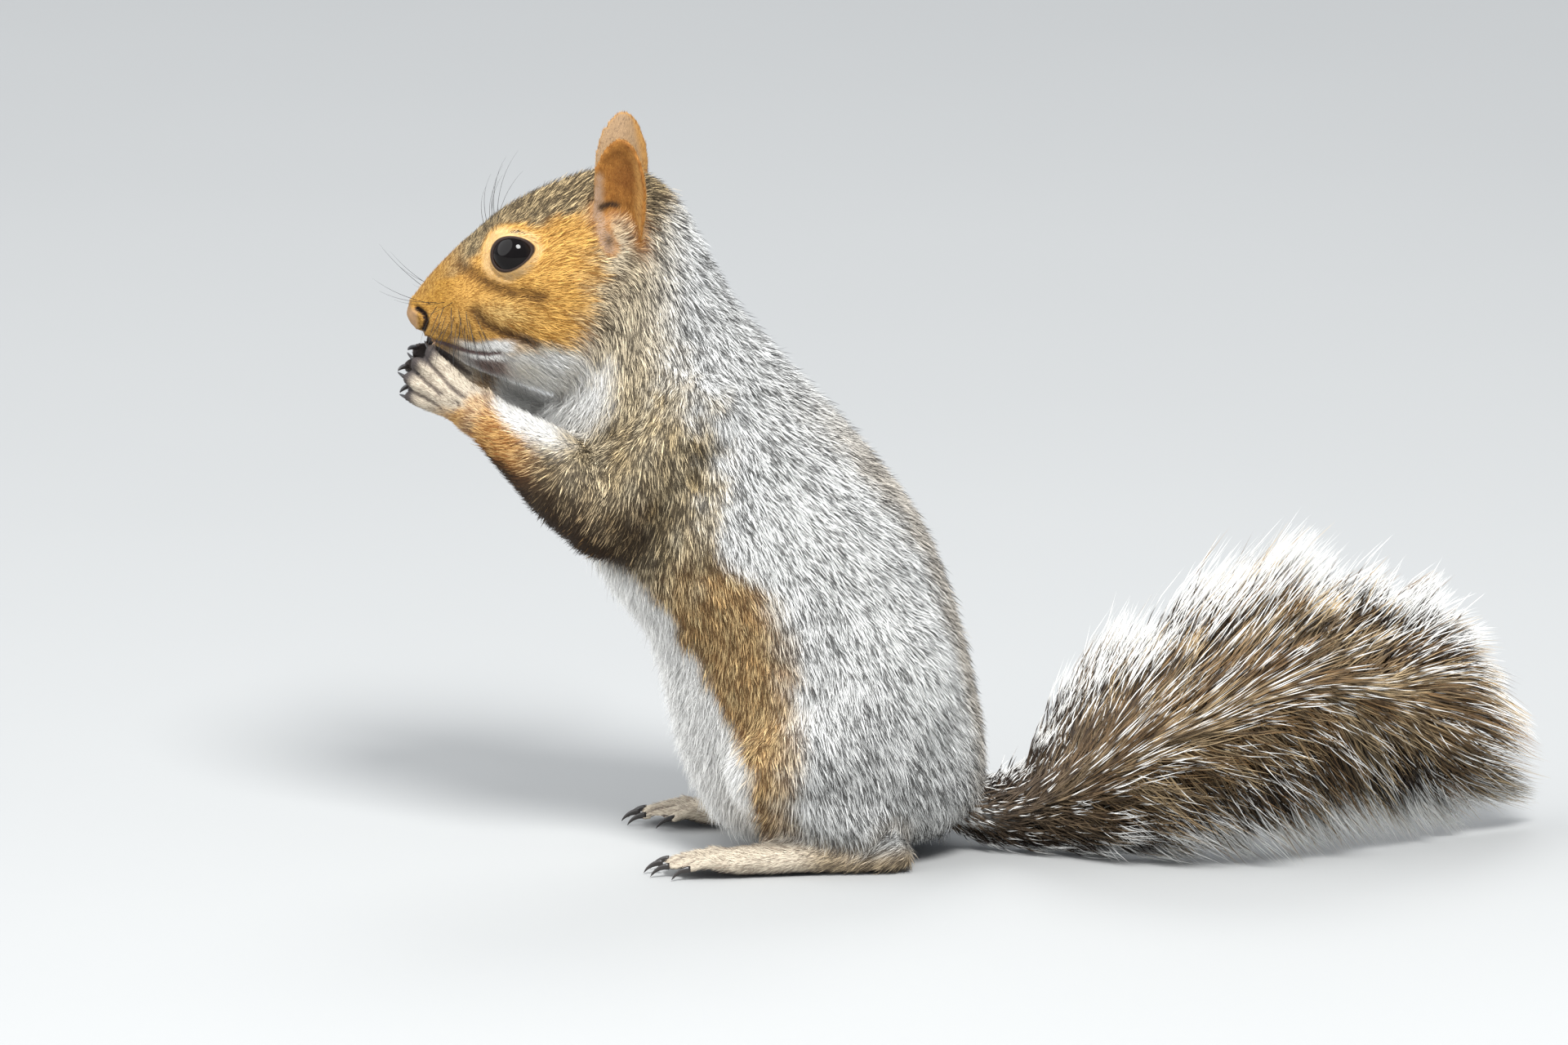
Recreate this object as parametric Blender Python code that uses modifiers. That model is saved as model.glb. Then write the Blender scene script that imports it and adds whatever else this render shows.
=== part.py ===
"""An eastern gray squirrel standing upright on its hind feet, life size, as a still model.

Frame: +Z up, the floor at Z = 0, the nose towards -Y, the animal's left side towards +X.
Lengths below are in millimetres and are scaled to metres when the meshes are made.

The body is modelled whole, from lofts and ellipsoids that are fused, smoothed and thinned out,
and is then parted with thin cuts. Arms, feet, ears, eyes and claws are bodies of their own,
each seated in its host with a small gap. Every outline is that of the coat, not of the skin.
"""

import math

import bmesh
import bpy
from mathutils import Matrix, Vector

MM = 0.001
GAP = 0.3  # the thickness of a cut
SEAT_GAP = 0.4  # between a piece and the hollow it sits in, a little more where it bends
CORNER = 1.8  # the most that a seat gives a sharp corner, in gaps
FLOOR_DIP = 0.7  # how far the soles are modelled below the floor before they are cut flat
LEFT, RIGHT = 1, -1
SIDE_NAMES = {LEFT: "left", RIGHT: "right"}

# Main sizes
EYE_RADIUS = 6.3
EYE_CENTRE = (9.8, -73.2, 150.8)
FINGER_RADIUS = 1.7
TOE_RADIUS = 2.1
TOES = 5
FINGERS = 4
CLAW_BASE = (0.6, 1.0)  # half width and half depth where the claw leaves the toe
CLAW_TIP = 0.28
ARM_ROOT = 15.5  # the upper arm ends inside the trunk at this distance from the middle
CLAW_TURN = 1.1  # radians from its base to its tip
STRIDE = {LEFT: 0.0, RIGHT: -6.0}  # the right hind foot is a little ahead
SHELL_SEGMENTS = 14
EYE_SEGMENTS = 12
TAIL_CUTS = (12, 21, 29, 37)  # in quarters of a section

# Triangles for each fused body, before the cuts
BODY_TRIANGLES = 1850
ARM_TRIANGLES = 400
FOOT_TRIANGLES = 310
EAR_TRIANGLES = 160
TAIL_TRIANGLES = 440

SHARP_ANGLE = 40

# Colours: linear RGB and roughness
GRAY = ((0.42, 0.40, 0.38), 0.8)
TAN = ((0.45, 0.27, 0.12), 0.8)
RUST = ((0.40, 0.22, 0.09), 0.8)
CREAM = ((0.75, 0.70, 0.60), 0.8)
TAIL_GRAY = ((0.36, 0.32, 0.28), 0.85)
EYE_BLACK = ((0.01, 0.008, 0.008), 0.08)

# Sections of the trunk and neck from the rump up: the point on the back and the one on the belly,
# each as y and z, the half width, and how much narrower the back is than the belly
TRUNK = (
    (30.0, 3.5, -16.0, 3.5, 18.0, 0.00),
    (40.5, 13.0, -26.0, 9.0, 30.0, 0.02),
    (41.9, 27.0, -33.0, 23.0, 35.0, -0.08),
    (38.7, 45.0, -36.8, 38.0, 36.5, -0.10),
    (33.8, 64.0, -41.5, 54.0, 35.5, -0.08),
    (25.6, 84.0, -51.5, 67.5, 33.0, -0.02),
    (11.6, 103.0, -59.0, 80.0, 29.5, 0.04),
    (-3.8, 120.0, -62.5, 93.0, 25.5, 0.06),
    (-18.2, 136.5, -63.5, 105.0, 21.5, 0.05),
    (-27.0, 152.0, -62.5, 113.5, 19.5, 0.05),
    (-34.0, 164.3, -60.0, 118.5, 18.5, 0.05),
    (-42.0, 169.5, -57.0, 122.0, 15.0, 0.05),
)

# Sections of the head from the neck to the nose: y, z of the crown, z of the chin, half width, and
# how much narrower the crown is than the jaw
HEAD = (
    (-34.0, 163.0, 128.0, 12.0, 0.00),
    (-43.0, 169.8, 117.0, 17.6, 0.06),
    (-53.0, 170.4, 114.5, 19.2, 0.14),
    (-61.0, 168.4, 115.0, 19.0, 0.18),
    (-69.0, 165.2, 116.0, 17.8, 0.20),
    (-76.5, 161.4, 117.5, 15.6, 0.20),
    (-82.8, 156.6, 119.5, 13.0, 0.18),
    (-88.0, 151.8, 122.5, 10.6, 0.14),
    (-92.5, 146.7, 126.0, 8.8, 0.10),
    (-96.0, 142.2, 128.8, 7.2, 0.05),
    (-98.9, 138.2, 131.6, 5.4, 0.00),
    (-100.7, 136.0, 133.8, 2.2, 0.00),
)

# Sections of the tail, from its root to the tips of the last hairs: x, the upper point and the
# lower one, each as y and z, and the half thickness
TAIL = (
    (0.0, 30.0, 22.0, 28.0, 5.0, 7.0),
    (0.5, 43.5, 16.8, 40.0, 1.6, 8.0),
    (4.0, 51.5, 24.5, 56.0, -1.0, 9.0),
    (10.0, 60.0, 39.5, 71.0, -1.0, 10.5),
    (15.0, 70.5, 57.0, 85.0, 0.5, 12.5),
    (17.0, 84.0, 64.5, 97.0, 3.5, 14.0),
    (16.0, 101.0, 77.5, 109.0, 6.0, 15.0),
    (10.0, 119.5, 81.5, 122.0, 8.0, 15.0),
    (2.0, 136.0, 71.5, 135.5, 9.5, 14.5),
    (-7.0, 150.5, 67.0, 148.0, 11.0, 13.5),
    (-15.0, 163.5, 55.0, 160.0, 12.0, 11.5),
    (-21.0, 171.5, 38.0, 169.5, 13.0, 8.5),
    (-25.0, 176.5, 25.0, 176.0, 15.0, 4.0),
)


def spline(stations, steps):
    """Catmull-Rom points through rows of numbers, steps to each stretch."""
    ends = [stations[0], *stations, stations[-1]]
    points = []
    for i in range(len(stations) - 1):
        a, b, c, d = ends[i : i + 4]
        for k in range(steps):
            t = k / steps
            weights = (
                (-t + 2 * t**2 - t**3) / 2,
                (2 - 5 * t**2 + 3 * t**3) / 2,
                (t + 4 * t**2 - 3 * t**3) / 2,
                (-(t**2) + t**3) / 2,
            )
            points.append([sum(w * x for w, x in zip(weights, four)) for four in zip(a, b, c, d)])
    points.append(list(stations[-1]))
    return points


def add_rings(shape, rings):
    """A closed body over a row of rings of points, all of one length."""
    rings = [[shape.verts.new(point) for point in ring] for ring in rings]
    around = len(rings[0])
    for low, high in zip(rings, rings[1:]):
        for k in range(around):
            n = (k + 1) % around
            shape.faces.new((low[k], low[n], high[n], high[k]))
    shape.faces.new(list(reversed(rings[0])))
    shape.faces.new(rings[-1])


def oval(centre, side, deep, narrower, around):
    """Points round an oval, from its half axes. The end that deep points to is narrower."""
    points = []
    for k in range(around):
        angle = 2 * math.pi * k / around
        wide = math.cos(angle) * (1 - narrower * math.sin(angle))
        points.append(centre + side * wide + deep * math.sin(angle))
    return points


def add_outline(shape, stations, around=32, steps=4):
    """A loft of upright ovals between an upper and a lower outline.

    A station is x, y and z of the upper point, y and z of the lower one, half width, and how much
    narrower the upper side is.
    """
    rings = []
    for x, y1, z1, y2, z2, half_width, narrower in spline(stations, steps):
        upper, lower = Vector((x, y1, z1)), Vector((x, y2, z2))
        middle, deep = (upper + lower) / 2, (upper - lower) / 2
        rings.append(oval(middle, Vector((half_width, 0, 0)), deep, narrower, around))
    add_rings(shape, rings)


def add_tube(shape, stations, around=16, steps=3):
    """A loft of round sections square to its path: x, y, z and radius."""
    rows = spline(stations, steps)
    centres = [Vector(row[:3]) for row in rows]
    rings = []
    for i, row in enumerate(rows):
        along = (centres[min(i + 1, len(rows) - 1)] - centres[max(i - 1, 0)]).normalized()
        side = Vector((1, 0, 0))
        side = (side - along * side.dot(along)).normalized()
        rings.append(oval(centres[i], side * row[3], along.cross(side) * row[3], 0.0, around))
    add_rings(shape, rings)


def add_ball(shape, centre, radii, lean=0.0, around=24, turn=0.0):
    """An ellipsoid, turned about Y and then leaned about X by angles in degrees."""
    turned = Matrix.Rotation(math.radians(lean), 4, "X") @ Matrix.Rotation(math.radians(turn), 4, "Y")
    place = Matrix.Translation(centre) @ turned @ Matrix.Diagonal((*radii, 1))
    rings = around * 2 // 3
    bmesh.ops.create_uvsphere(shape, u_segments=around, v_segments=rings, radius=1, matrix=place)


def object_of(shape, name, collection):
    """An object, in metres, from a bmesh in millimetres with its faces turned outwards."""
    bmesh.ops.recalc_face_normals(shape, faces=shape.faces)
    bmesh.ops.scale(shape, vec=(MM, MM, MM), verts=shape.verts)
    mesh = bpy.data.meshes.new(name)
    shape.to_mesh(mesh)
    shape.free()
    made = bpy.data.objects.new(name, mesh)
    collection.objects.link(made)
    return made


def settle(made):
    """Replaces an object's mesh with its evaluated one, and drops its modifiers."""
    bpy.context.view_layer.update()
    graph = bpy.context.evaluated_depsgraph_get()
    mesh = bpy.data.meshes.new_from_object(made.evaluated_get(graph))
    made.modifiers.clear()
    made.data = mesh
    return made


def fuse(made, voxel, smoothing, triangles=None):
    """Fuses an object's overlapping bodies into one, smooths it and thins out its triangles."""
    remesh = made.modifiers.new("Fuse", "REMESH")
    remesh.mode = "VOXEL"
    remesh.voxel_size = voxel * MM
    smooth = made.modifiers.new("Smooth", "SMOOTH")
    smooth.factor = 0.5
    smooth.iterations = smoothing
    settle(made)
    if triangles:
        thin = made.modifiers.new("Thin", "DECIMATE")
        thin.ratio = triangles / (2 * len(made.data.polygons))
        made.modifiers.new("Triangles", "TRIANGULATE")
        settle(made)
    return made


def boolean(host, other, operation="DIFFERENCE"):
    cut = host.modifiers.new(operation.title(), "BOOLEAN")
    cut.operation = operation
    cut.object = other
    settle(host)


def seat(host, piece):
    """Hollows the host by the piece and the gap round it."""
    shape = bmesh.new()
    shape.from_mesh(piece.data)
    bmesh.ops.transform(shape, matrix=piece.matrix_world, verts=shape.verts)
    shape.normal_update()
    moves = [(v, v.normal * SEAT_GAP * MM * min(v.calc_shell_factor(), CORNER)) for v in shape.verts]
    for vertex, move in moves:
        vertex.co += move
    mesh = bpy.data.meshes.new("Seat")
    shape.to_mesh(mesh)
    shape.free()
    cutter = bpy.data.objects.new("Seat", mesh)
    cutters.objects.link(cutter)
    boolean(host, cutter)
    bpy.data.objects.remove(cutter)


def disc(centre, normal, radius):
    """A round cut, square to normal and as thick as the gap."""
    turn = Vector(normal).to_track_quat("Z", "Y").to_matrix().to_4x4()
    shape = bmesh.new()
    bmesh.ops.create_cone(
        shape,
        cap_ends=True,
        segments=40,
        radius1=radius,
        radius2=radius,
        depth=GAP,
        matrix=Matrix.Translation(centre) @ turn,
    )
    return object_of(shape, "Cut", cutters)


def shell(centre, radii, lean=0.0):
    """A cut as thick as the gap, all over an ellipsoid."""
    shape = bmesh.new()
    add_ball(shape, centre, [r + GAP / 2 for r in radii], lean, SHELL_SEGMENTS)
    outer = object_of(shape, "Cut", cutters)
    shape = bmesh.new()
    add_ball(shape, centre, [r - GAP / 2 for r in radii], lean, SHELL_SEGMENTS)
    inner = object_of(shape, "Core", cutters)
    boolean(outer, inner)
    bpy.data.objects.remove(inner)
    return outer


def part(made, cuts, names):
    """Cuts a body and returns its pieces, each named after the nearest point in names."""
    for cut in cuts:
        boolean(made, cut)
        bpy.data.objects.remove(cut)
    shape = bmesh.new()
    shape.from_mesh(made.data)
    left, pieces = set(shape.verts), {}
    while left:
        island, edge = set(), {next(iter(left))}
        while edge:
            island |= edge
            edge = {e.other_vert(v) for v in edge for e in v.link_edges} - island
        left -= island
        middle = sum((v.co for v in island), Vector()) / len(island) / MM
        name = min(names, key=lambda n: (Vector(names[n]) - middle).length)
        pieces.setdefault(name, []).append([v.index for v in island])
    shape.free()
    for name, islands in pieces.items():
        if len(islands) > 1:
            raise ValueError(f"{name} came apart in {len(islands)} pieces")
        kept = set(islands[0])
        shape = bmesh.new()
        shape.from_mesh(made.data)
        gone = [v for v in shape.verts if v.index not in kept]
        bmesh.ops.delete(shape, geom=gone, context="VERTS")
        mesh = bpy.data.meshes.new(name)
        shape.to_mesh(mesh)
        shape.free()
        pieces[name] = bpy.data.objects.new(name, mesh)
        parts.objects.link(pieces[name])
    bpy.data.objects.remove(made)
    return pieces


def paint(made, finish):
    """Gives an object a plain material of its own."""
    colour, roughness = finish
    material = bpy.data.materials.new(made.name)
    material.use_nodes = True
    surface = material.node_tree.nodes["Principled BSDF"]
    surface.inputs["Base Color"].default_value = (*colour, 1)
    surface.inputs["Roughness"].default_value = roughness
    made.data.materials.clear()
    made.data.materials.append(material)
    made.data.shade_smooth()
    made.data.set_sharp_from_angle(angle=math.radians(SHARP_ANGLE))


def mirrored(point, side):
    return Vector((point[0] * side, *point[1:]))


def knee(side):
    return Vector((27.0 * side, -10 + STRIDE[side] * 0.8, 26))


def ankle(side):
    return Vector((24.5 * side, 17 + STRIDE[side], 9))


def torso():
    """Trunk, neck, head and haunches, fused."""
    shape = bmesh.new()
    add_outline(shape, [(0, *row) for row in TRUNK])
    add_outline(shape, [(0, y, top, y, low, wide, narrower) for y, top, low, wide, narrower in HEAD])
    add_ball(shape, (0, -82, 126), (6.5, 7.5, 6), 10)  # chin
    for side in (LEFT, RIGHT):
        add_ball(shape, mirrored((9.5, -62, 133), side), (10, 15, 13.5))  # cheek
        add_ball(shape, mirrored((4.6, -90.5, 133), side), (5.4, 7.5, 6.0), -25)  # whisker pad
        add_ball(shape, mirrored((8.5, -73.0, 154.0), side), (4.0, 8, 3.0), -25)  # brow
        add_ball(shape, mirrored((19.0, 9, 40), side), (19, 26, 34), -8)  # haunch
        hip, bend, heel = mirrored((20, 11, 40), side), knee(side), ankle(side)
        add_tube(shape, [(*hip, 17), (*hip.lerp(bend, 0.5), 17), (*bend, 13.5)])
        add_ball(shape, bend, (12.5, 13.0, 13.5))
        foot_end = heel + Vector((0, -1, 3))
        add_tube(shape, [(*bend, 12), (*bend.lerp(heel, 0.5), 10.5), (*foot_end, 8.5)])
    return fuse(object_of(shape, "torso", parts), 1.2, 9, BODY_TRIANGLES)


def tail():
    shape = bmesh.new()
    add_outline(shape, [(*row, 0.0) for row in TAIL], around=24)
    return fuse(object_of(shape, "tail", parts), 1.5, 6, TAIL_TRIANGLES)


def arm_joints(side):
    joints = ((15.5, -31, 110), (20.5, -51.0, 89), (13.2, -82.5, 112.2))
    return [mirrored(point, side) for point in joints]


def hand_frame(side):
    """The wrist and the hand's directions: along, across from the lowest finger up, into the palm."""
    wrist = arm_joints(side)[2]
    along = Vector((-0.14 * side, -0.86, 0.45)).normalized()
    palm = Vector((-side, 0.15, 0.12))
    palm = (palm - along * palm.dot(along)).normalized()
    across = along.cross(palm) * -side
    return wrist, along, across, palm


def finger(side, index):
    """The points of one finger from the hand's back to the tip, and the way its tip points."""
    wrist, along, across, palm = hand_frame(side)
    place = index - (FINGERS - 1) / 2
    reach = (0.86, 1.0, 1.0, 0.88)[index]
    fan = (along + across * place * 0.2).normalized()
    root = wrist + along * 4.5 + across * (place * 2.0 + 0.8)
    knuckle = root + fan * 8.6 * reach
    bend = knuckle + (fan + palm * 0.25).normalized() * 5.6 * reach
    ahead = (fan * 0.6 + palm * 0.75 - across * 0.2).normalized()
    tip = bend + ahead * 3.6 * reach
    return (root, knuckle, bend, tip), ahead


def arm(side):
    """Upper arm, forearm and hand, fused, with the claws."""
    shoulder, elbow, wrist = arm_joints(side)
    _, along, across, palm = hand_frame(side)
    shape = bmesh.new()
    add_tube(shape, [(*shoulder, 12.5), (*shoulder.lerp(elbow, 0.5), 13.5), (*elbow, 12.3)])
    add_ball(shape, shoulder, (11.5, 16, 16))
    add_ball(shape, elbow, (11.0, 12.5, 12.5))
    fore = [elbow.lerp(wrist, t) for t in (0.0, 0.3, 0.65, 0.95)]
    add_tube(shape, [(*p, r) for p, r in zip(fore, (12.0, 11.6, 8.8, 6.4))])
    add_ball(shape, wrist, (4.8, 6.6, 6.6))
    add_ball(shape, wrist + along * 6.5 + across * 0.6 - palm * 0.5, (4.2, 6.8, 6.0), -33)
    for index in range(FINGERS):
        points, _ = finger(side, index)
        radii = (2.3, 2.1, FINGER_RADIUS, FINGER_RADIUS * 0.8)
        add_tube(shape, [(*p, r) for p, r in zip(points, radii)], around=10)
        add_ball(shape, points[-1], [FINGER_RADIUS * 0.85] * 3)
    made = fuse(object_of(shape, "arm_" + SIDE_NAMES[side], parts), 0.55, 0)
    shape = bmesh.new()
    add_ball(shape, (0, -25, 103), (ARM_ROOT, 30, 40), 20)
    trim = object_of(shape, "Trim", cutters)
    boolean(made, trim)
    bpy.data.objects.remove(trim)
    fuse(made, 0.55, 5, ARM_TRIANGLES)
    for index in range(FINGERS):
        points, ahead = finger(side, index)
        add_claw(made, points[-1], ahead, (palm - across * 0.3).normalized(), 4.2)
    return made


def toe(side, index):
    """The points of one toe of the hind foot, and the way it points."""
    place = (index - (TOES - 1) / 2) * side
    reach = (0.72, 1.0, 1.06, 1.0, 0.8)[index]
    base = ankle(side) + Vector((2.6 * side + place * 2.9, -42 + 13 * (1 - reach), -5.8))
    ahead = Vector((place * 0.09 + 0.05 * side, -1, 0)).normalized()
    knuckle = base + ahead * 5.5 * reach + Vector((0, 0, 1.0))
    tip = base + ahead * 12 * reach + Vector((0, 0, -0.8))
    return (base + Vector((-place * 0.9, 9, 0.8)), base, knuckle, tip), ahead


def foot(side):
    """The hind foot from heel to toes, fused, with its claws and the ankle that stands in the leg."""
    joint = ankle(side)
    sections = (
        (-0.5, 6.5, 6.5, 1.0, 3.0),
        (0.0, 1.0, 10.5, -FLOOR_DIP, 5.0),
        (0.6, -11.0, 9.6, -FLOOR_DIP, 5.4),
        (1.6, -25.0, 8.2, -FLOOR_DIP, 6.6),
        (2.4, -36.0, 6.8, -FLOOR_DIP, 7.2),
        (2.8, -42.0, 5.4, 0.2, 6.6),
    )
    shape = bmesh.new()
    rows = []
    for x, y, top, low, half_width in sections:
        rows.append((joint.x + side * x, joint.y + y, top, joint.y + y, low, half_width, 0.1))
    add_outline(shape, rows, around=20)
    add_tube(shape, [(*(joint + Vector((0, 0.5, -3))), 5.4), (*(joint + Vector((0, -2, 4))), 5.6)])
    for index in range(TOES):
        points, _ = toe(side, index)
        radii = (TOE_RADIUS * 1.15, TOE_RADIUS * 1.1, TOE_RADIUS, TOE_RADIUS * 0.8)
        add_tube(shape, [(*p, r) for p, r in zip(points, radii)], around=10)
        add_ball(shape, points[-1], (TOE_RADIUS * 0.9, TOE_RADIUS, TOE_RADIUS * 0.85))
    made = fuse(object_of(shape, "hind_foot_" + SIDE_NAMES[side], parts), 0.6, 4, FOOT_TRIANGLES)
    for index in range(TOES):
        points, ahead = toe(side, index)
        add_claw(made, points[-1] + Vector((0, 0, 0.5)), ahead, Vector((0, 0, -1)), 4.6)
    return made


def add_claw(host, base, ahead, curl, length):
    """Joins a hooked claw to a toe. It starts inside the toe and turns from ahead towards curl."""
    rings, place, steps = [], base - ahead * 0.3, 3
    side = ahead.cross(curl).normalized()
    for i in range(steps + 1):
        t = i / steps
        half_width, half_depth = (CLAW_TIP + (size - CLAW_TIP) * (1 - t) ** 0.8 for size in CLAW_BASE)
        turn = CLAW_TURN * t
        way = (ahead * math.cos(turn) + curl * math.sin(turn)).normalized()
        rings.append(oval(place, side * half_width, way.cross(side) * half_depth, 0.0, 5))
        place = place + way * length / steps
    shape = bmesh.new()
    add_rings(shape, rings)
    made = object_of(shape, "claw", cutters)
    boolean(host, made, "UNION")
    bpy.data.objects.remove(made)


def ear(side):
    """A thin cupped ear, open outwards and a little ahead, with its root in the head."""
    root = mirrored((12.0, -47.6, 153.0), side)
    up = Vector((0.17 * side, 0.04, 1)).normalized()
    outwards = Vector((side, -0.45, 0))
    outwards = (outwards - up * outwards.dot(up)).normalized()
    ahead = up.cross(outwards) * side
    height, half_width, cup, rows, columns = 29.0, 7.6, 6.5, 12, 10
    shape = bmesh.new()
    grid = []
    for i in range(rows + 1):
        v = i / rows
        width = half_width * (0.80 + 0.20 * math.sin(math.pi * min(v / 0.6, 1) * 0.5))
        if v > 0.5:
            width *= max(1 - ((v - 0.5) / 0.52) ** 2, 0.0) ** 0.6
        deep = cup * (1 - 0.55 * v) * min(1.0, width / half_width * 1.2)
        line = []
        for k in range(columns + 1):
            u = 2 * k / columns - 1
            bowl = 2.0 * v + deep * (u * u - 0.6)
            line.append(shape.verts.new(root + up * height * v + ahead * width * u + outwards * bowl))
        grid.append(line)
    for low, high in zip(grid, grid[1:]):
        for k in range(columns):
            shape.faces.new((low[k], low[k + 1], high[k + 1], high[k]))
    made = object_of(shape, "ear_" + SIDE_NAMES[side], parts)
    thick = made.modifiers.new("Thickness", "SOLIDIFY")
    thick.thickness = 2.0 * MM
    thick.offset = 0
    return fuse(made, 0.5, 4, EAR_TRIANGLES)


def eye(side):
    shape = bmesh.new()
    add_ball(shape, mirrored(EYE_CENTRE, side), [EYE_RADIUS] * 3, 0, EYE_SEGMENTS, 90)
    return object_of(shape, "eye_" + SIDE_NAMES[side], parts)


def cut_at_floor(made):
    """Takes off all that is below the floor, which leaves flats to stand on."""
    if min((made.matrix_world @ Vector(c)).z for c in made.bound_box) >= 0:
        return
    shape = bmesh.new()
    place = Matrix.Translation((0, 40, -25)) @ Matrix.Diagonal((400, 500, 50, 1))
    bmesh.ops.create_cube(shape, size=1, matrix=place)
    floor = object_of(shape, "Floor", cutters)
    boolean(made, floor)
    bpy.data.objects.remove(floor)


def build():
    whole = torso()
    head_cut = disc((0, -51.5, 140.5), (0, -0.884, 0.466), 36)
    neck_cut = disc((0, -40.0, 121.0), (0, -0.583, 0.813), 35)
    haunch_cuts = [
        shell((side * 28, 5 + STRIDE[side] * 0.4, 30), (17, 38, 37), -20) for side in (LEFT, RIGHT)
    ]
    names = {"head": (0, -68, 144), "neck": (0, -42, 133), "trunk": (0, -10, 75)}
    names |= {"hind_leg_" + SIDE_NAMES[side]: (34 * side, 5, 32) for side in (LEFT, RIGHT)}
    pieces = part(whole, [head_cut, neck_cut, *haunch_cuts], names)

    rings = spline([(x, (y1 + y2) / 2, (z1 + z2) / 2) for x, y1, z1, y2, z2, _ in TAIL], 4)
    cuts = []
    for at in TAIL_CUTS:
        centre, ahead = Vector(rings[at]), Vector(rings[at + 1]) - Vector(rings[at - 1])
        cuts.append(disc(centre, ahead, 44))
    middles = [(low + high) // 2 for low, high in zip((0, *TAIL_CUTS), (*TAIL_CUTS, len(rings) - 1))]
    names = {f"tail_{i + 1}": rings[at] for i, at in enumerate(middles)}
    pieces |= part(tail(), cuts, names)
    seat(pieces["trunk"], pieces["tail_1"])

    for side in (LEFT, RIGHT):
        label = SIDE_NAMES[side]
        wrist, along, _, _ = hand_frame(side)
        shoulder, elbow, _ = arm_joints(side)
        cuts = [disc(wrist, along, 12), disc(elbow.lerp(wrist, 0.36), wrist - elbow, 17)]
        names = {"upper_arm_" + label: shoulder, "forearm_" + label: elbow.lerp(wrist, 0.6)}
        names["forepaw_" + label] = wrist + along * 12
        limb = arm(side)
        for host in ("trunk", "neck"):
            seat(pieces[host], limb)
        pieces |= part(limb, cuts, names)
        pieces["hind_foot_" + label] = foot(side)
        for host in ("hind_leg_" + label, "trunk"):
            seat(pieces[host], pieces["hind_foot_" + label])
        for made in (ear(side), eye(side)):
            pieces[made.name] = made
            seat(pieces["head"], made)
        seat(pieces["neck"], pieces["ear_" + label])
    return pieces


def finish_of(name):
    if name.startswith("eye"):
        return EYE_BLACK
    if name.startswith("tail"):
        return TAIL_GRAY
    if name.startswith(("head", "ear", "forearm")):
        return TAN
    if name.startswith(("hind_foot", "forepaw")):
        return CREAM
    if name.startswith("upper_arm"):
        return RUST
    return GRAY


for old in list(bpy.data.objects):
    bpy.data.objects.remove(old)
parts = bpy.data.collections.new("squirrel")
cutters = bpy.data.collections.new("cutters")
for group in (parts, cutters):
    bpy.context.scene.collection.children.link(group)
cutters.hide_render = True

solids = build()
for solid in solids.values():
    cut_at_floor(solid)
corners = [v.co for solid in solids.values() for v in solid.data.vertices]
ends = [(min(c[axis] for c in corners), max(c[axis] for c in corners)) for axis in range(3)]
shift = Vector((-sum(ends[0]) / 2, -sum(ends[1]) / 2, -ends[2][0]))
for solid in solids.values():
    solid.data.transform(Matrix.Translation(shift))
    paint(solid, finish_of(solid.name))
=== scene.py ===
"""The looks of an eastern gray squirrel standing upright: skin, coat, eyes, claws and whiskers.

Lengths are in millimetres and in the body's own axes, as in the CAD: the nose points towards -Y,
the left side is +X and the floor is at Z = 0. ORIGIN takes them to the frame, where meshes are
in metres. The coat is tufts of solid mesh. Each grows from the skin and lies along the body.
"""

import math

import bmesh
import bpy
import numpy as np
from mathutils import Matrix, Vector
from mathutils.bvhtree import BVHTree


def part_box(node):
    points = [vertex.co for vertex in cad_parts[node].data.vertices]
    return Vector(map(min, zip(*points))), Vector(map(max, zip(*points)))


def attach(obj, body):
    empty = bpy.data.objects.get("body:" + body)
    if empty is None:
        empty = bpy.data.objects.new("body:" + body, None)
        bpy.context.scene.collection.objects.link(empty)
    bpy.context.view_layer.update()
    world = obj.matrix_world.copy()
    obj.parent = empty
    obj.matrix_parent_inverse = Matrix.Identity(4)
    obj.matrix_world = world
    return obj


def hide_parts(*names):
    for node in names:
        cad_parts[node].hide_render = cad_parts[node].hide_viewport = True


MM = 0.001
SIDES = {"left": 1, "right": -1}
UP = np.array((0.0, 0.0, 1.0))

# Joints and sizes that the CAD model is built on
EYE_CENTRE = (9.8, -73.2, 150.8)
EYE_RADIUS = 6.3
ARM = ((15.5, -31.0, 110.0), (20.5, -51.0, 89.0), (13.2, -82.5, 112.2))  # shoulder, elbow, wrist
ANKLE = (24.5, 17.0, 9.0)
STRIDE = {"left": 0.0, "right": -6.0}
FINGERS = 4
TOES = 5
FINGER_RADIUS = 1.36
TOE_RADIUS = 1.9
# Sections of the tail: x, the upper point and the lower one, each as y and z, and half thickness
TAIL = (
    (0.0, 30.0, 22.0, 28.0, 5.0, 7.0),
    (0.5, 43.5, 16.8, 40.0, 1.6, 8.0),
    (4.0, 51.5, 24.5, 56.0, -1.0, 9.0),
    (10.0, 60.0, 39.5, 71.0, -1.0, 10.5),
    (15.0, 70.5, 57.0, 85.0, 0.5, 12.5),
    (17.0, 84.0, 64.5, 97.0, 3.5, 14.0),
    (16.0, 101.0, 77.5, 109.0, 6.0, 15.0),
    (10.0, 119.5, 81.5, 122.0, 8.0, 15.0),
    (2.0, 136.0, 71.5, 135.5, 9.5, 14.5),
    (-7.0, 150.5, 67.0, 148.0, 11.0, 13.5),
    (-15.0, 163.5, 55.0, 160.0, 12.0, 11.5),
    (-21.0, 171.5, 38.0, 169.5, 13.0, 8.5),
    (-25.0, 176.5, 25.0, 176.0, 15.0, 4.0),
)

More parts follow.
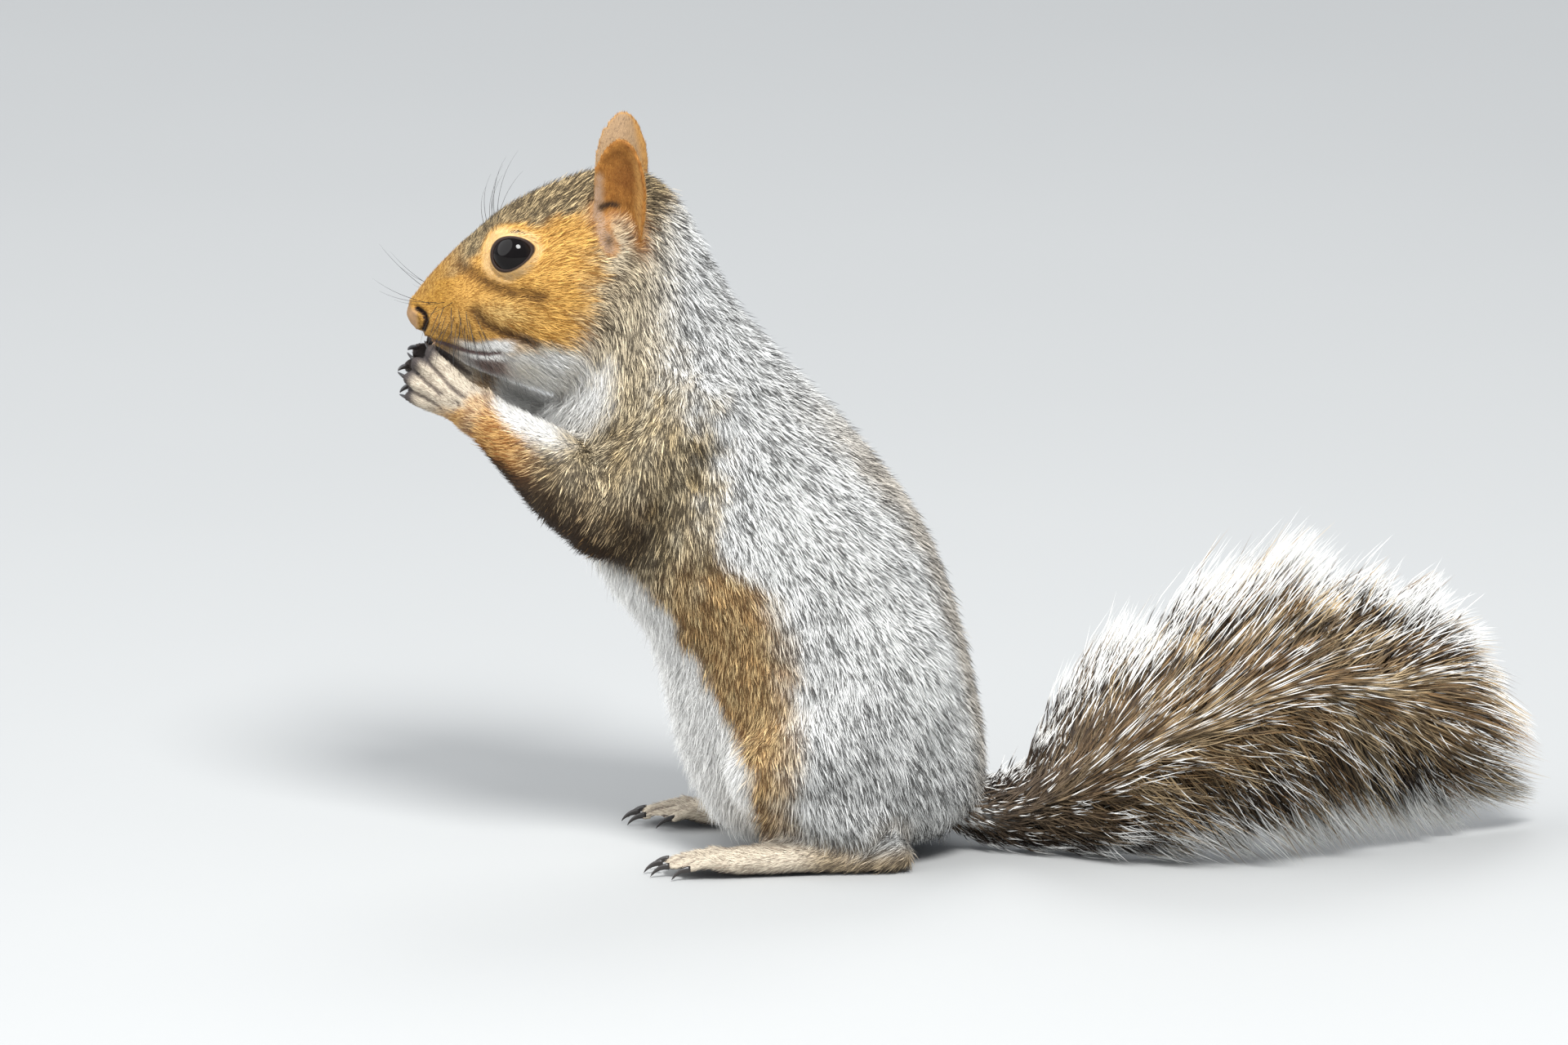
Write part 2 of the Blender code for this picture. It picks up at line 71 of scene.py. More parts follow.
# Skin
SWELL = 0.35  # closes the thin cuts between the CAD's pieces
FIRST_VOXEL = 0.9
SKIN_VOXEL = 0.75
TAIL_CORE = (5.5, 4.6, 4.0, 3.7, 3.5, 3.3, 3.1, 2.9, 2.7, 2.5, 2.3, 1.9, 1.2)  # its radii
CLAW_REACH = 6.5  # a claw's points are nearer than this to the tip of its finger or toe
CLEFT_REACH = 17  # clefts are looked for this near to the second finger's or toe's knuckle
DIGIT_REACH = 4.0  # and only this near to a finger or toe
SKIN_SHADE = 0.80  # how bright the skin is beside the hairs over it: painted shade under the coat
LID_HALF_LENGTH = 5.35
LID_HALF_HEIGHTS = (4.2, 3.7)  # above and below the middle

# Lines on the head as seen from the side: y and z
MOUTH = ((-98.6, 130.6), (-96.0, 129.6), (-90.5, 127.8), (-83.5, 126.4), (-77.5, 127.0))
NOSTRIL = ((-97.4, 136.4), (-95.9, 135.6), (-95.3, 133.6), (-96.0, 131.2))
GROOVE = ((-87.0, 147.0), (-80.5, 144.0), (-75.0, 142.2), (-68.0, 141.5))  # under the eye
JOWL = ((-83.5, 137.0), (-80.5, 133.8), (-75.0, 132.0), (-69.5, 130.2))
CONCHA = ((-52.8, 170.0), (-53.6, 163.0), (-52.2, 157.0), (-50.5, 153.5))  # the ear's hollow
NOTCH = ((-52.4, 162.9), (-50.6, 163.6), (-48.6, 163.2))  # a fold in the ear, painted as a dark line of shade
# The white crease, from the throat to the elbow's inside
CREASE = ((-56.0, 127.0), (-58.0, 118.0), (-62.0, 111.5), (-68.0, 110.5), (-74.0, 113.5), (-78.0, 117.0))

# Coat. For each part of the body: depth of the skin under the coat, tuft length, tuft width,
# lift from the skin in degrees, tufts for each square millimetre
COAT = {
    "head": (1.1, 2.4, 0.23, 20, 7.2),
    "neck": (1.9, 3.9, 0.29, 25, 4.8),
    "trunk": (2.1, 4.2, 0.31, 26, 4.1),
    "ear": (0.45, 1.1, 0.16, 18, 5.5),
    "upper_arm": (1.7, 3.5, 0.28, 24, 5.0),
    "forearm": (1.2, 2.8, 0.25, 20, 5.8),
    "forepaw": (0.35, 1.4, 0.19, 17, 8.0),
    "hind_leg": (2.1, 4.2, 0.31, 26, 4.0),
    "hind_foot": (0.55, 2.1, 0.24, 17, 5.0),
    "tail": (0.0, 5.0, 0.32, 22, 2.6),
}
REGIONS = tuple(COAT)
TICKS = 1.15  # how many more of the tufts are dark than the share of the coat that looks dark
GUARD_HAIRS = 0.07  # the share of the body's tufts that are longer, bend and stand out more
GUARD_LENGTH = 2.4  # the length above which there are any
SUNK = 0.07  # the share of a tuft's length that its root is under the skin
LOWEST = 0.25  # how high above the floor tufts stay
COAT_PIECES = 7
TAIL_PIECES = 3
TAIL_HAIRS = 23000
TAIL_WIDTHS = (0.26, 0.44)
CORE_END = 0.82  # how far along the plume the thin tail inside it ends
PATCH = 0.003  # how far across a tuft lies on the OFBake map
UNWRAP_TRIANGLES = 7000

# Colours of hair and skin, linear RGB
SILVER = (0.95, 0.95, 0.92)
CHARCOAL = (0.022, 0.020, 0.018)
DUN = (0.62, 0.47, 0.28)
RUST = (0.80, 0.54, 0.235)
RUST_DARK = (0.085, 0.034, 0.008)
WHITE = (0.96, 0.95, 0.91)
DOWN = (0.50, 0.49, 0.47)
STRAW = (0.88, 0.71, 0.44)
BLACK_BROWN = (0.020, 0.012, 0.007)
BROWN = (0.32, 0.17, 0.055)
ORANGE = (0.82, 0.50, 0.18)
ORANGE_DARK = (0.20, 0.06, 0.008)
FACE = (0.80, 0.46, 0.12)
FACE_DARK = (0.22, 0.085, 0.010)
CROWN = (0.74, 0.56, 0.30)
EYE_RING = (0.80, 0.53, 0.25)
LID = (0.035, 0.022, 0.018)
NOSE = (0.40, 0.24, 0.12)
# the line of the mouth: painted shade in the slit between the lips
MOUTH_SHADE = (0.20, 0.13, 0.12)
LOWER_LIP = (0.42, 0.31, 0.28)
CREAM = (0.86, 0.79, 0.64)
EAR_IN = (0.50, 0.24, 0.055)
EAR_DEEP = (0.44, 0.30, 0.21)
EAR_RIM = (0.66, 0.36, 0.11)
EAR_BACK = (0.43, 0.28, 0.15)
PAW = (0.77, 0.68, 0.53)
PAW_DARK = (0.26, 0.20, 0.15)
PAD = (0.075, 0.062, 0.058)
OCHRE = (0.66, 0.49, 0.28)
OCHRE_DARK = (0.28, 0.165, 0.07)
TAIL_BROWN = (0.15, 0.105, 0.065)
CREASE_WHITE = (0.84, 0.83, 0.79)
NAPE = (0.70, 0.60, 0.44)
CREAM_DARK = (0.30, 0.22, 0.13)
LIP_DARK = (0.10, 0.07, 0.06)
POUCH = (0.80, 0.60, 0.26)
SNOUT = (0.56, 0.31, 0.05)
WHISKER_PAD = (0.66, 0.40, 0.13)
EAR_BACK_DARK = (0.16, 0.10, 0.06)
EAR_SHADE = (0.30, 0.12, 0.03)
EAR_FOLD_SHADE = (0.06, 0.03, 0.015)
PUPIL = (0.004, 0.003, 0.003)
IRIS = (0.009, 0.006, 0.005)
HORN = (0.030, 0.026, 0.024)
BRISTLE = (0.012, 0.010, 0.009)

# Claws and whiskers
CLAW_LENGTHS = {"hand": 4.2, "foot": 4.6}
CLAW_BASE = 0.9  # how deep a claw's base is in the tip of its finger or toe
CLAW_TURN = 1.1  # how far it curls, in radians
CLAW_AROUND = 10
HAIR_STEPS = 9
HAIR_AROUND = 5

# The scene: metres, degrees and watts
FLOOR = (0.40, 0.405, 0.40)
FLOOR_SIZE = 12
SKY = (0.80, 0.86, 0.95)
SKY_STRENGTH = 0.55
# Name, azimuth, elevation, distance, size and power
LIGHTS = (
    ("key", 104, 50, 2.0, 0.7, 60),
    ("fill", 18, 36, 2.8, 4.0, 98),
    ("rim", 265, 50, 2.4, 1.2, 14),
)
LIT_POINT = (0, 0, 0.09)
VIEWED_POINT = (0, -0.008, 0.082)
CAMERA = (90, 12, 4)  # azimuth, elevation and distance
SENSOR = 36
FOCAL_LENGTH = 375

EYE = np.array(EYE_CENTRE)


# Small maths


def unit(v):
    return v / np.maximum(np.linalg.norm(v, axis=-1, keepdims=True), 1e-9)


def smooth(low, high, x):
    """0 below low, 1 above high, and a soft step between."""
    t = np.clip((x - low) / (high - low), 0, 1)
    return t * t * (3 - 2 * t)


def blend(a, b, share):
    return a + (np.asarray(b) - a) * np.asarray(share)[..., None]


def waves(points, size, seed):
    """Smooth random values of about -1 to 1 that change over lengths of about size."""
    source = np.random.default_rng(seed)
    total = np.zeros(len(points))
    for _ in range(10):
        way = source.normal(size=3)
        way *= 2 * np.pi / size * source.uniform(0.6, 1.5) / np.linalg.norm(way)
        total += np.cos(points @ way + source.uniform(0, 2 * np.pi))
    return total / 3.2


def spline(stations, steps):
    """Catmull-Rom points through rows of numbers, steps to each stretch."""
    rows = np.array(stations, float)
    ends = np.vstack((rows[:1], rows, rows[-1:]))
    t = (np.arange(steps) / steps)[:, None]
    points = []
    for a, b, c, d in zip(ends, ends[1:], ends[2:], ends[3:]):
        bend = (2 * a - 5 * b + 4 * c - d) * t**2 + (3 * b - a - 3 * c + d) * t**3
        points.append(0.5 * (2 * b + (c - a) * t + bend))
    return np.vstack((*points, rows[-1:]))


def columns(*parts):
    """Numbers and rows of numbers, side by side as the columns of one array."""
    return np.stack(np.broadcast_arrays(*parts), 1)


def folded(points):
    """The points' x, y and z, with both sides of the body on the left one."""
    return np.abs(points[:, 0]), points[:, 1], points[:, 2]


def across_from(ways, normals):
    """Directions with their share along the normals taken away."""
    return unit(ways - normals * np.sum(ways * normals, axis=-1, keepdims=True))


def to_side(point, side):
    """The left side's point, or its mirror image."""
    return np.array(point, float) * (side, 1, 1)


def distance_to(points, start, end):
    """The distance from each point to the segment from start to end."""
    start, way = np.array(start), np.array(end) - start
    t = np.clip((points - start) @ way / (way @ way), 0, 1)
    return np.linalg.norm(points - start - t[:, None] * way, axis=1)


def bell(x, width):
    """1 where x is 0, and falling softly to 0 on both sides."""
    return np.exp(-((x / width) ** 2))


def lanes(points, seed, size):
    """Three sets of smooth random values, as directions."""
    return columns(*(waves(points, size, seed + k) for k in range(3)))


# Meshes


def new_mesh(name, points, faces):
    """A mesh in the frame from points in millimetres and triangles."""
    mesh = bpy.data.meshes.new(name)
    mesh.vertices.add(len(points))
    mesh.vertices.foreach_set("co", ((points + ORIGIN) * MM).astype(np.float32).ravel())
    mesh.loops.add(faces.size)
    mesh.loops.foreach_set("vertex_index", faces.astype(np.int32).ravel())
    mesh.polygons.add(len(faces))
    mesh.polygons.foreach_set("loop_start", np.arange(0, faces.size, 3, dtype=np.int32))
    mesh.update(calc_edges=True)
    mesh.shade_smooth()
    return mesh


def new_object(name, mesh):
    made = bpy.data.objects.new(name, mesh)
    bpy.context.scene.collection.objects.link(made)
    return made


def placed(name, mesh, finish):
    """A piece of the body in the scene."""
    mesh.materials.append(finish)
    made = new_object(name, mesh)
    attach(made, "root")
    return made


def read(items, what, width, kind=np.float32):
    """A value of each item, as rows of numbers."""
    flat = np.empty(len(items) * width, kind)
    items.foreach_get(what, flat)
    return flat.reshape(-1, width)


def points_of(mesh):
    return read(mesh.vertices, "co", 3).astype(float) / MM - ORIGIN


def triangles_of(mesh):
    mesh.calc_loop_triangles()
    return read(mesh.loop_triangles, "vertices", 3, np.int32)


def triangulated(shape):
    """Makes a bmesh's faces triangles, and returns them."""
    bmesh.ops.triangulate(shape, faces=shape.faces)
    shape.verts.index_update()
    return np.array([[v.index for v in face.verts] for face in shape.faces])


def settle(made):
    """Replaces an object's mesh with its evaluated one, and drops its modifiers."""
    bpy.context.view_layer.update()
    graph = bpy.context.evaluated_depsgraph_get()
    mesh = bpy.data.meshes.new_from_object(made.evaluated_get(graph))
    made.modifiers.clear()
    made.data = mesh


def remeshed(points, faces, voxel):
    """Points and triangles of one closed surface round all of the given ones."""
    made = new_object("remesh", new_mesh("remesh", points, faces))
    step = made.modifiers.new("Remesh", "REMESH")
    step.mode = "VOXEL"
    step.voxel_size = voxel * MM
    soft = made.modifiers.new("Smooth", "SMOOTH")
    soft.factor = 0.5
    soft.iterations = 2
    settle(made)
    points, faces = points_of(made.data), triangles_of(made.data)
    bpy.data.objects.remove(made)
    return points, faces


def colour_in(mesh, name, colours):
    """Gives each vertex its colour."""
    full = np.concatenate((colours, np.ones((len(colours), 1))), axis=1).astype(np.float32)
    layer = mesh.color_attributes.new(name=name, type="FLOAT_COLOR", domain="POINT")
    layer.data.foreach_set("color", full.ravel())


def normals_of(points, faces):
    """Each vertex's normal, weighted by the areas of its faces."""
    corners = points[faces]
    flat = np.cross(corners[:, 1] - corners[:, 0], corners[:, 2] - corners[:, 0])
    total = np.zeros_like(points)
    for k in range(3):
        for axis in range(3):
            total[:, axis] += np.bincount(faces[:, k], flat[:, axis], len(points))
    return unit(total)


def relaxed(values, edges, times):
    """Values at the vertices, each averaged with its neighbours' again and again."""
    values = np.array(values, float)
    count = np.bincount(edges.ravel(), minlength=len(values))[:, None]
    wide = values.reshape(len(values), -1)
    for _ in range(times):
        total = np.empty_like(wide)
        for k in range(wide.shape[1]):
            there = np.bincount(edges[:, 0], wide[edges[:, 1], k], len(wide))
            total[:, k] = there + np.bincount(edges[:, 1], wide[edges[:, 0], k], len(wide))
        wide = (wide + total / np.maximum(count, 1)) / 2
    return wide.reshape(values.shape)


def edges_of(faces):
    pairs = np.sort(np.vstack((faces[:, :2], faces[:, 1:], faces[:, ::2])), axis=1)
    return np.unique(pairs, axis=0)


def tube(path, radii, around):
    """Points and triangles of a closed round tube along a path of points."""
    along = unit(np.gradient(path, axis=0))
    side = unit(np.cross(along, (0.3, 0.2, 1.0)))
    other = np.cross(along, side)
    angle = 2 * np.pi * np.arange(around) / around
    spokes = side[:, None] * np.cos(angle)[:, None] + other[:, None] * np.sin(angle)[:, None]
    rings = path[:, None] + spokes * np.asarray(radii)[:, None, None]
    points = np.vstack((rings.reshape(-1, 3), path[:1], path[-1:]))
    faces = []
    for i in range(len(path) - 1):
        for k in range(around):
            a, b = i * around + k, i * around + (k + 1) % around
            faces += [(a, b, b + around), (a, b + around, a + around)]
    first, last = len(points) - 2, len(points) - 1
    end = (len(path) - 1) * around
    for k in range(around):
        n = (k + 1) % around
        faces += [(first, n, k), (last, end + k, end + n)]
    return points, np.array(faces)


def merged(batches):
    """Several batches as one. Each starts with its points and the triangles between them."""
    offsets = np.cumsum([0] + [len(batch[0]) for batch in batches[:-1]])
    joined = [np.vstack(parts) for parts in zip(*batches)]
    joined[1] = np.vstack([batch[1] + offset for batch, offset in zip(batches, offsets)])
    return joined


# The hands and feet, as in the CAD


def hand_frame(side):
    """The wrist and the hand's directions: along, across from the lowest finger up, into the palm."""
    wrist = to_side(ARM[2], side)
    along = unit(np.array((-0.14 * side, -0.86, 0.45)))
    palm = across_from(np.array((-side, 0.15, 0.12)), along)
    return wrist, along, np.cross(along, palm) * -side, palm


def finger(side, index):
    """The points of one finger from the hand's back to the tip, and the way its tip points."""
    wrist, along, across, palm = hand_frame(side)
    place = index - (FINGERS - 1) / 2
    reach = (0.86, 1.0, 1.0, 0.88)[index]
    fan = unit(along + across * place * 0.2)
    root = wrist + along * 4.5 + across * (place * 2.0 + 0.8)
    knuckle = root + fan * 8.6 * reach
    bend = knuckle + unit(fan + palm * 0.25) * 5.6 * reach
    ahead = unit(fan * 0.6 + palm * 0.75 - across * 0.2)
    return (root, knuckle, bend, bend + ahead * 3.6 * reach), ahead


def toe(name, index):
    """The points of one toe of the hind foot, and the way it points."""
    side = SIDES[name]
    place = (index - (TOES - 1) / 2) * side
    reach = (0.72, 1.0, 1.06, 1.0, 0.8)[index]
    heel = to_side(ANKLE, side) + (0, STRIDE[name], 0)
    base = heel + (2.6 * side + place * 2.9, -42 + 13 * (1 - reach), -5.8)
    ahead = unit(np.array((place * 0.09 + 0.05 * side, -1.0, 0.0)))
    knuckle = base + ahead * 5.5 * reach + (0, 0, 1.0)
    tip = base + ahead * 12 * reach + (0, 0, -0.8)
    return (base + (-place * 0.9, 9, 0.8), base, knuckle, tip), ahead


def digit_tips():
    """Each finger's and toe's tip, the way it points, the way its claw curls, and its radius."""
    found = []
    for name, side in SIDES.items():
        _, _, across, palm = hand_frame(side)
        for index in range(FINGERS):
            points, ahead = finger(side, index)
            curl = unit(palm - across * 0.3)
            found.append((points[-1], ahead, curl, FINGER_RADIUS, "hand"))
        for index in range(TOES):
            points, ahead = toe(name, index)
            found.append((points[-1], ahead, -UP, TOE_RADIUS, "foot"))
    return found


def tip_distance(points, kinds):
    """How far each point is from the nearest tip of a finger or toe."""
    tips = [tip for tip, _, _, _, kind in digit_tips() if kind in kinds]
    return np.min([np.linalg.norm(points - tip, axis=1) for tip in tips], axis=0)


def cleft_distance(points):
    """How far each point is from the clefts between the fingers and toes, seen from above them."""
    found = np.full(len(points), 9.0)
    for name, side in SIDES.items():
        limbs = (
            ([finger(side, index)[0] for index in range(FINGERS)], hand_frame(side)[3]),
            ([toe(name, index)[0][1:] for index in range(TOES)], UP),
        )
        for lines, above in limbs:
            near = np.nonzero(np.linalg.norm(points - lines[1][1], axis=1) < CLEFT_REACH)[0]
            parts = [pair for line in lines for pair in zip(line, line[1:])]
            off = np.min([distance_to(points[near], a, b) for a, b in parts], axis=0)
            near = near[off < DIGIT_REACH]
            flat = points[near] - (points[near] @ above)[:, None] * above
            for one, other in zip(lines, lines[1:]):
                middle = (np.array(one) + np.array(other)) / 2
                middle = middle - (middle @ above)[:, None] * above
                for a, b in zip(middle, middle[1:]):
                    found[near] = np.minimum(found[near], distance_to(flat, a, b))
    return found


# The skin


def flesh_shell():
    """Points and triangles of the CAD's flesh but the tail, swollen to close the thin cuts."""
    batches = []
    for name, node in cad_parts.items():
        if name.startswith("tail"):
            continue
        shape = bmesh.new()
        shape.from_mesh(node.data)
        bmesh.ops.remove_doubles(shape, verts=shape.verts, dist=1e-6)
        faces = triangulated(shape)
        shape.normal_update()
        swell = SWELL * (2 if name.startswith("eye") else 1)
        moved = [v.co / MM + v.normal * swell * min(v.calc_shell_factor(), 1.8) for v in shape.verts]
        shape.free()
        points = np.array(moved) - ORIGIN
        if name.startswith(("forepaw", "hind_foot")):
            points = without_claws(points)
        batches.append((points, faces))
    for side in SIDES.values():
        for index in range(FINGERS):
            line = spline(finger(side, index)[0], 4)
            batches.append(tube(line, np.linspace(1.2, FINGER_RADIUS, len(line)) + SWELL, 10))
    return merged(batches)


def without_claws(points):
    """Draws the points of each claw back to the round end of its finger or toe."""
    for tip, ahead, _, radius, _ in digit_tips():
        away = points - tip
        distance = np.linalg.norm(away, axis=1)
        claw = (distance > radius) & (distance < CLAW_REACH) & (away @ ahead > radius * 0.25)
        points[claw] = tip + away[claw] * (radius / distance[claw])[:, None]
    return points


class Fields:
    """Which part of the body each point belongs to, as shares that change softly."""

    def __init__(self):
        batches, names = [], []
        for name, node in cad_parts.items():
            if name.startswith("eye"):
                continue
            faces = triangles_of(node.data)
            batches.append((points_of(node.data), faces))
            region = next(r for r in REGIONS if name.startswith(r))
            names += [REGIONS.index(region)] * len(faces)
        points, faces = merged(batches)
        self.tree = BVHTree.FromPolygons(points.tolist(), faces.tolist())
        self.names = np.array(names)

    def shares(self, points, edges, softening):
        nearest = [self.tree.find_nearest(Vector(p))[2] for p in points]
        region = self.names[nearest]
        table = np.zeros((len(points), len(REGIONS)))
        table[np.arange(len(points)), region] = 1
        return relaxed(table, edges, softening)


def column(shares, name):
    return shares[:, REGIONS.index(name)]


def tail_path():
    """Along the tail: its middle, the way from there to its upper edge, and half its thickness."""
    rows = spline(TAIL, 8)
    upper = rows[:, (0, 1, 2)]
    lower = rows[:, (0, 3, 4)]
    return (upper + lower) / 2, (upper - lower) / 2, rows[:, 5]


def tail_core():
    """The thin tail under the hairs, from inside the rump to near the end of the plume."""
    middle = tail_path()[0]
    start = np.array(((0.0, 12.0, 20.0), (0.0, 21.0, 15.0)))
    radii = np.interp(np.linspace(0, 1, len(middle)), np.linspace(0, 1, len(TAIL)), TAIL_CORE)
    keep = int(len(middle) * CORE_END)
    path = np.vstack((start, middle[:keep]))
    return tube(path, np.concatenate(((6.5, 6.2), radii[:keep])), 14)


def eye_frame(side):
    """The eye's centre and its directions: outwards, backwards along the lids, and up."""
    centre = to_side(EYE, side)
    out = unit(np.array((0.95 * side, -0.24, 0.20)))
    back = across_from(unit(np.array((0.20 * side, 0.93, 0.33))), out)
    up = np.cross(back, out) * -side
    return centre, out, back, up


def lid_distance(points, side):
    """How far each point is outside the opening between the lids, seen along the eye's axis."""
    centre, out, back, up = eye_frame(side)
    away = points - centre
    u, v, w = away @ back, away @ up, away @ out
    half_height = np.where(v > 0, *LID_HALF_HEIGHTS) * (1 - 0.035 * u)
    level = (np.abs(u / LID_HALF_LENGTH) ** 2.1 + np.abs(v / half_height) ** 1.9) ** 0.5
    distance = (level - 1) * 5.0
    return np.where(w > -4, distance, 9.0), u, v, w


def both_lids(points):
    return np.array([lid_distance(points, side)[0] for side in SIDES.values()])


def sculpt_eyes(points):
    """Raises a lid round each eye and sinks the skin behind the eyeball inside it."""
    for side in SIDES.values():
        distance, u, v, w = lid_distance(points, side)
        _, out, _, _ = eye_frame(side)
        near = (distance < 6.0) & (w > -2)
        d, level = distance[near], w[near]
        ball = np.sqrt(np.maximum(EYE_RADIUS**2 - (u[near] ** 2 + v[near] ** 2), 1.5))
        rim = ball + 0.42
        ridge = level + 0.30 * bell(d - 1.9, 0.7) - 0.28 * bell(d - 1.05, 0.3)
        height = rim + (ridge - rim) * smooth(0.35, 3.2, d)
        height = np.where(d < 0, rim - 2.2 * smooth(0.0, 1.6, -d), height)
        points[near] += out * (height - level)[:, None]
    return points


def side_distance(points, line):
    """The distance from each point to a line of (y, z) points, seen from the side."""
    flat = points * (0, 1, 1)
    curve = spline([(0.0, y, z) for y, z in line], 3)
    return np.min([distance_to(flat, a, b) for a, b in zip(curve, curve[1:])], axis=0)


def sculpt_muzzle(points, normals):
    """Cuts the mouth line, the nostrils and the groove under the nose, and rounds the pads."""
    mouth = side_distance(points, MOUTH)
    nostril = side_distance(points, NOSTRIL) + 0.5 * smooth(1.6, 0.6, np.abs(points[:, 0]))
    x, y, z = folded(points)
    groove = 0.85 * bell(mouth, 0.65) - 0.25 * bell(mouth - 1.5, 0.8)
    hole = 1.5 * bell(nostril, 0.62) - 0.25 * bell(nostril - 1.2, 0.6)
    pad = -0.55 * np.exp(-(((y + 98.6) / 2.6) ** 2 + ((z - 133.8) / 2.6) ** 2)) * smooth(5.5, 3.0, x)
    lip = -0.5 * spot(points, (5.0, -91.5, 131.6), (6.0, 4.0, 2.2))
    furrow = 0.5 * bell(side_distance(points, JOWL), 1.5)
    furrow += 0.35 * bell(side_distance(points, GROOVE), 1.8)
    philtrum = 0.6 * bell(x, 0.45) * smooth(-95.5, -97.5, y) * smooth(136.2, 134.0, z)
    return points - normals * (groove + hole + philtrum + pad + lip + furrow)[:, None]


def refine(points, faces, chosen):
    """Cuts the edges between chosen points in two, and returns all points and triangles."""
    shape = bmesh.new()
    mesh = new_mesh("refine", points, faces)
    shape.from_mesh(mesh)
    bpy.data.meshes.remove(mesh)
    shape.verts.ensure_lookup_table()
    picked = {shape.verts[i] for i in np.nonzero(chosen)[0]}
    edges = [e for e in shape.edges if e.verts[0] in picked and e.verts[1] in picked]
    bmesh.ops.subdivide_edges(shape, edges=edges, cuts=1, use_grid_fill=True)
    faces = triangulated(shape)
    points = np.array([v.co for v in shape.verts]) / MM - ORIGIN
    shape.free()
    return points, faces


def make_skin(fields):
    """The skin's points, triangles, normals, edges and shares of each part of the body."""
    points, faces = remeshed(*flesh_shell(), FIRST_VOXEL)
    edges = edges_of(faces)
    shares = fields.shares(points, edges, 4)
    depth = shares @ np.array([COAT[r][0] for r in REGIONS]) + SWELL
    depth -= 0.75 * column(shares, "head") * smooth(-84, -97, points[:, 1])
    depth = relaxed(depth, edges, 12)
    normals = unit(relaxed(normals_of(points, faces), edges, 6))
    thin = column(shares, "ear") + column(shares, "forepaw") + column(shares, "hind_foot")
    crisp = normals_of(points, faces)
    normals = unit(blend(normals, crisp, np.clip(thin, 0, 1)))
    inner = points - normals * depth[:, None]
    points, faces = remeshed(*merged([(inner, faces), tail_core()]), SKIN_VOXEL)

    near = np.abs(both_lids(points) - 0.8).min(0)
    muzzle = (points[:, 1] < -68) & (points[:, 2] > 121) & (np.abs(points[:, 0]) < 15)
    head = points[:, 2] > 115
    points, faces = refine(points, faces, head & ((near < 3.2) | muzzle))
    near = np.abs(both_lids(points) - 0.3).min(0)
    line = np.minimum(side_distance(points, MOUTH), side_distance(points, NOSTRIL))
    points, faces = refine(points, faces, (near < 1.5) | (line < 1.6))
    points = sculpt_eyes(points)
    points = sculpt_muzzle(points, normals_of(points, faces))
    cleft = 0.55 * bell(cleft_distance(points), 0.55)
    points = points - normals_of(points, faces) * cleft[:, None]
    edges = edges_of(faces)
    return points, faces, normals_of(points, faces), edges, fields.shares(points, edges, 30)


# Markings, for the skin and the coat alike


def spot(p, centre, size):
    """A soft round patch on both sides of the body: 1 in its middle and 0 far from it."""
    away = (columns(*folded(p)) - centre) / size
    return np.exp(-np.sum(away**2, axis=1))


def belly_line(z):
    """Where the white of the belly ends and the rusty stripe begins, as y for each height."""
    heights = (0, 18, 34, 54, 71, 80, 95, 112, 126, 140)
    ends = (-12, -15, -19, -30, -41, -52, -57, -57, -54, -60)
    return np.interp(z, heights, ends)


def stripe_width(z):
    return np.interp(z, (0, 19, 35, 55, 72, 87, 100), (6, 8, 14, 24, 29, 26, 8))


def cheek_edge(y):
    """How far above a level of 127 the white under the cheek ends."""
    return np.interp(y, (-100, -90, -80, -72, -64, -56, -46), (2.5, -0.5, 1.0, 0.5, 1.5, 0.0, -4.0))


def crown_edge(y):
    """How far from the middle the dark crown reaches, from the nose to the nape."""
    places = (-102, -97, -90, -82, -72, -60, -50, -40)
    return np.interp(y, places, (2.6, 4.4, 6.0, 7.6, 9.0, 10.5, 11.5, 13.0))


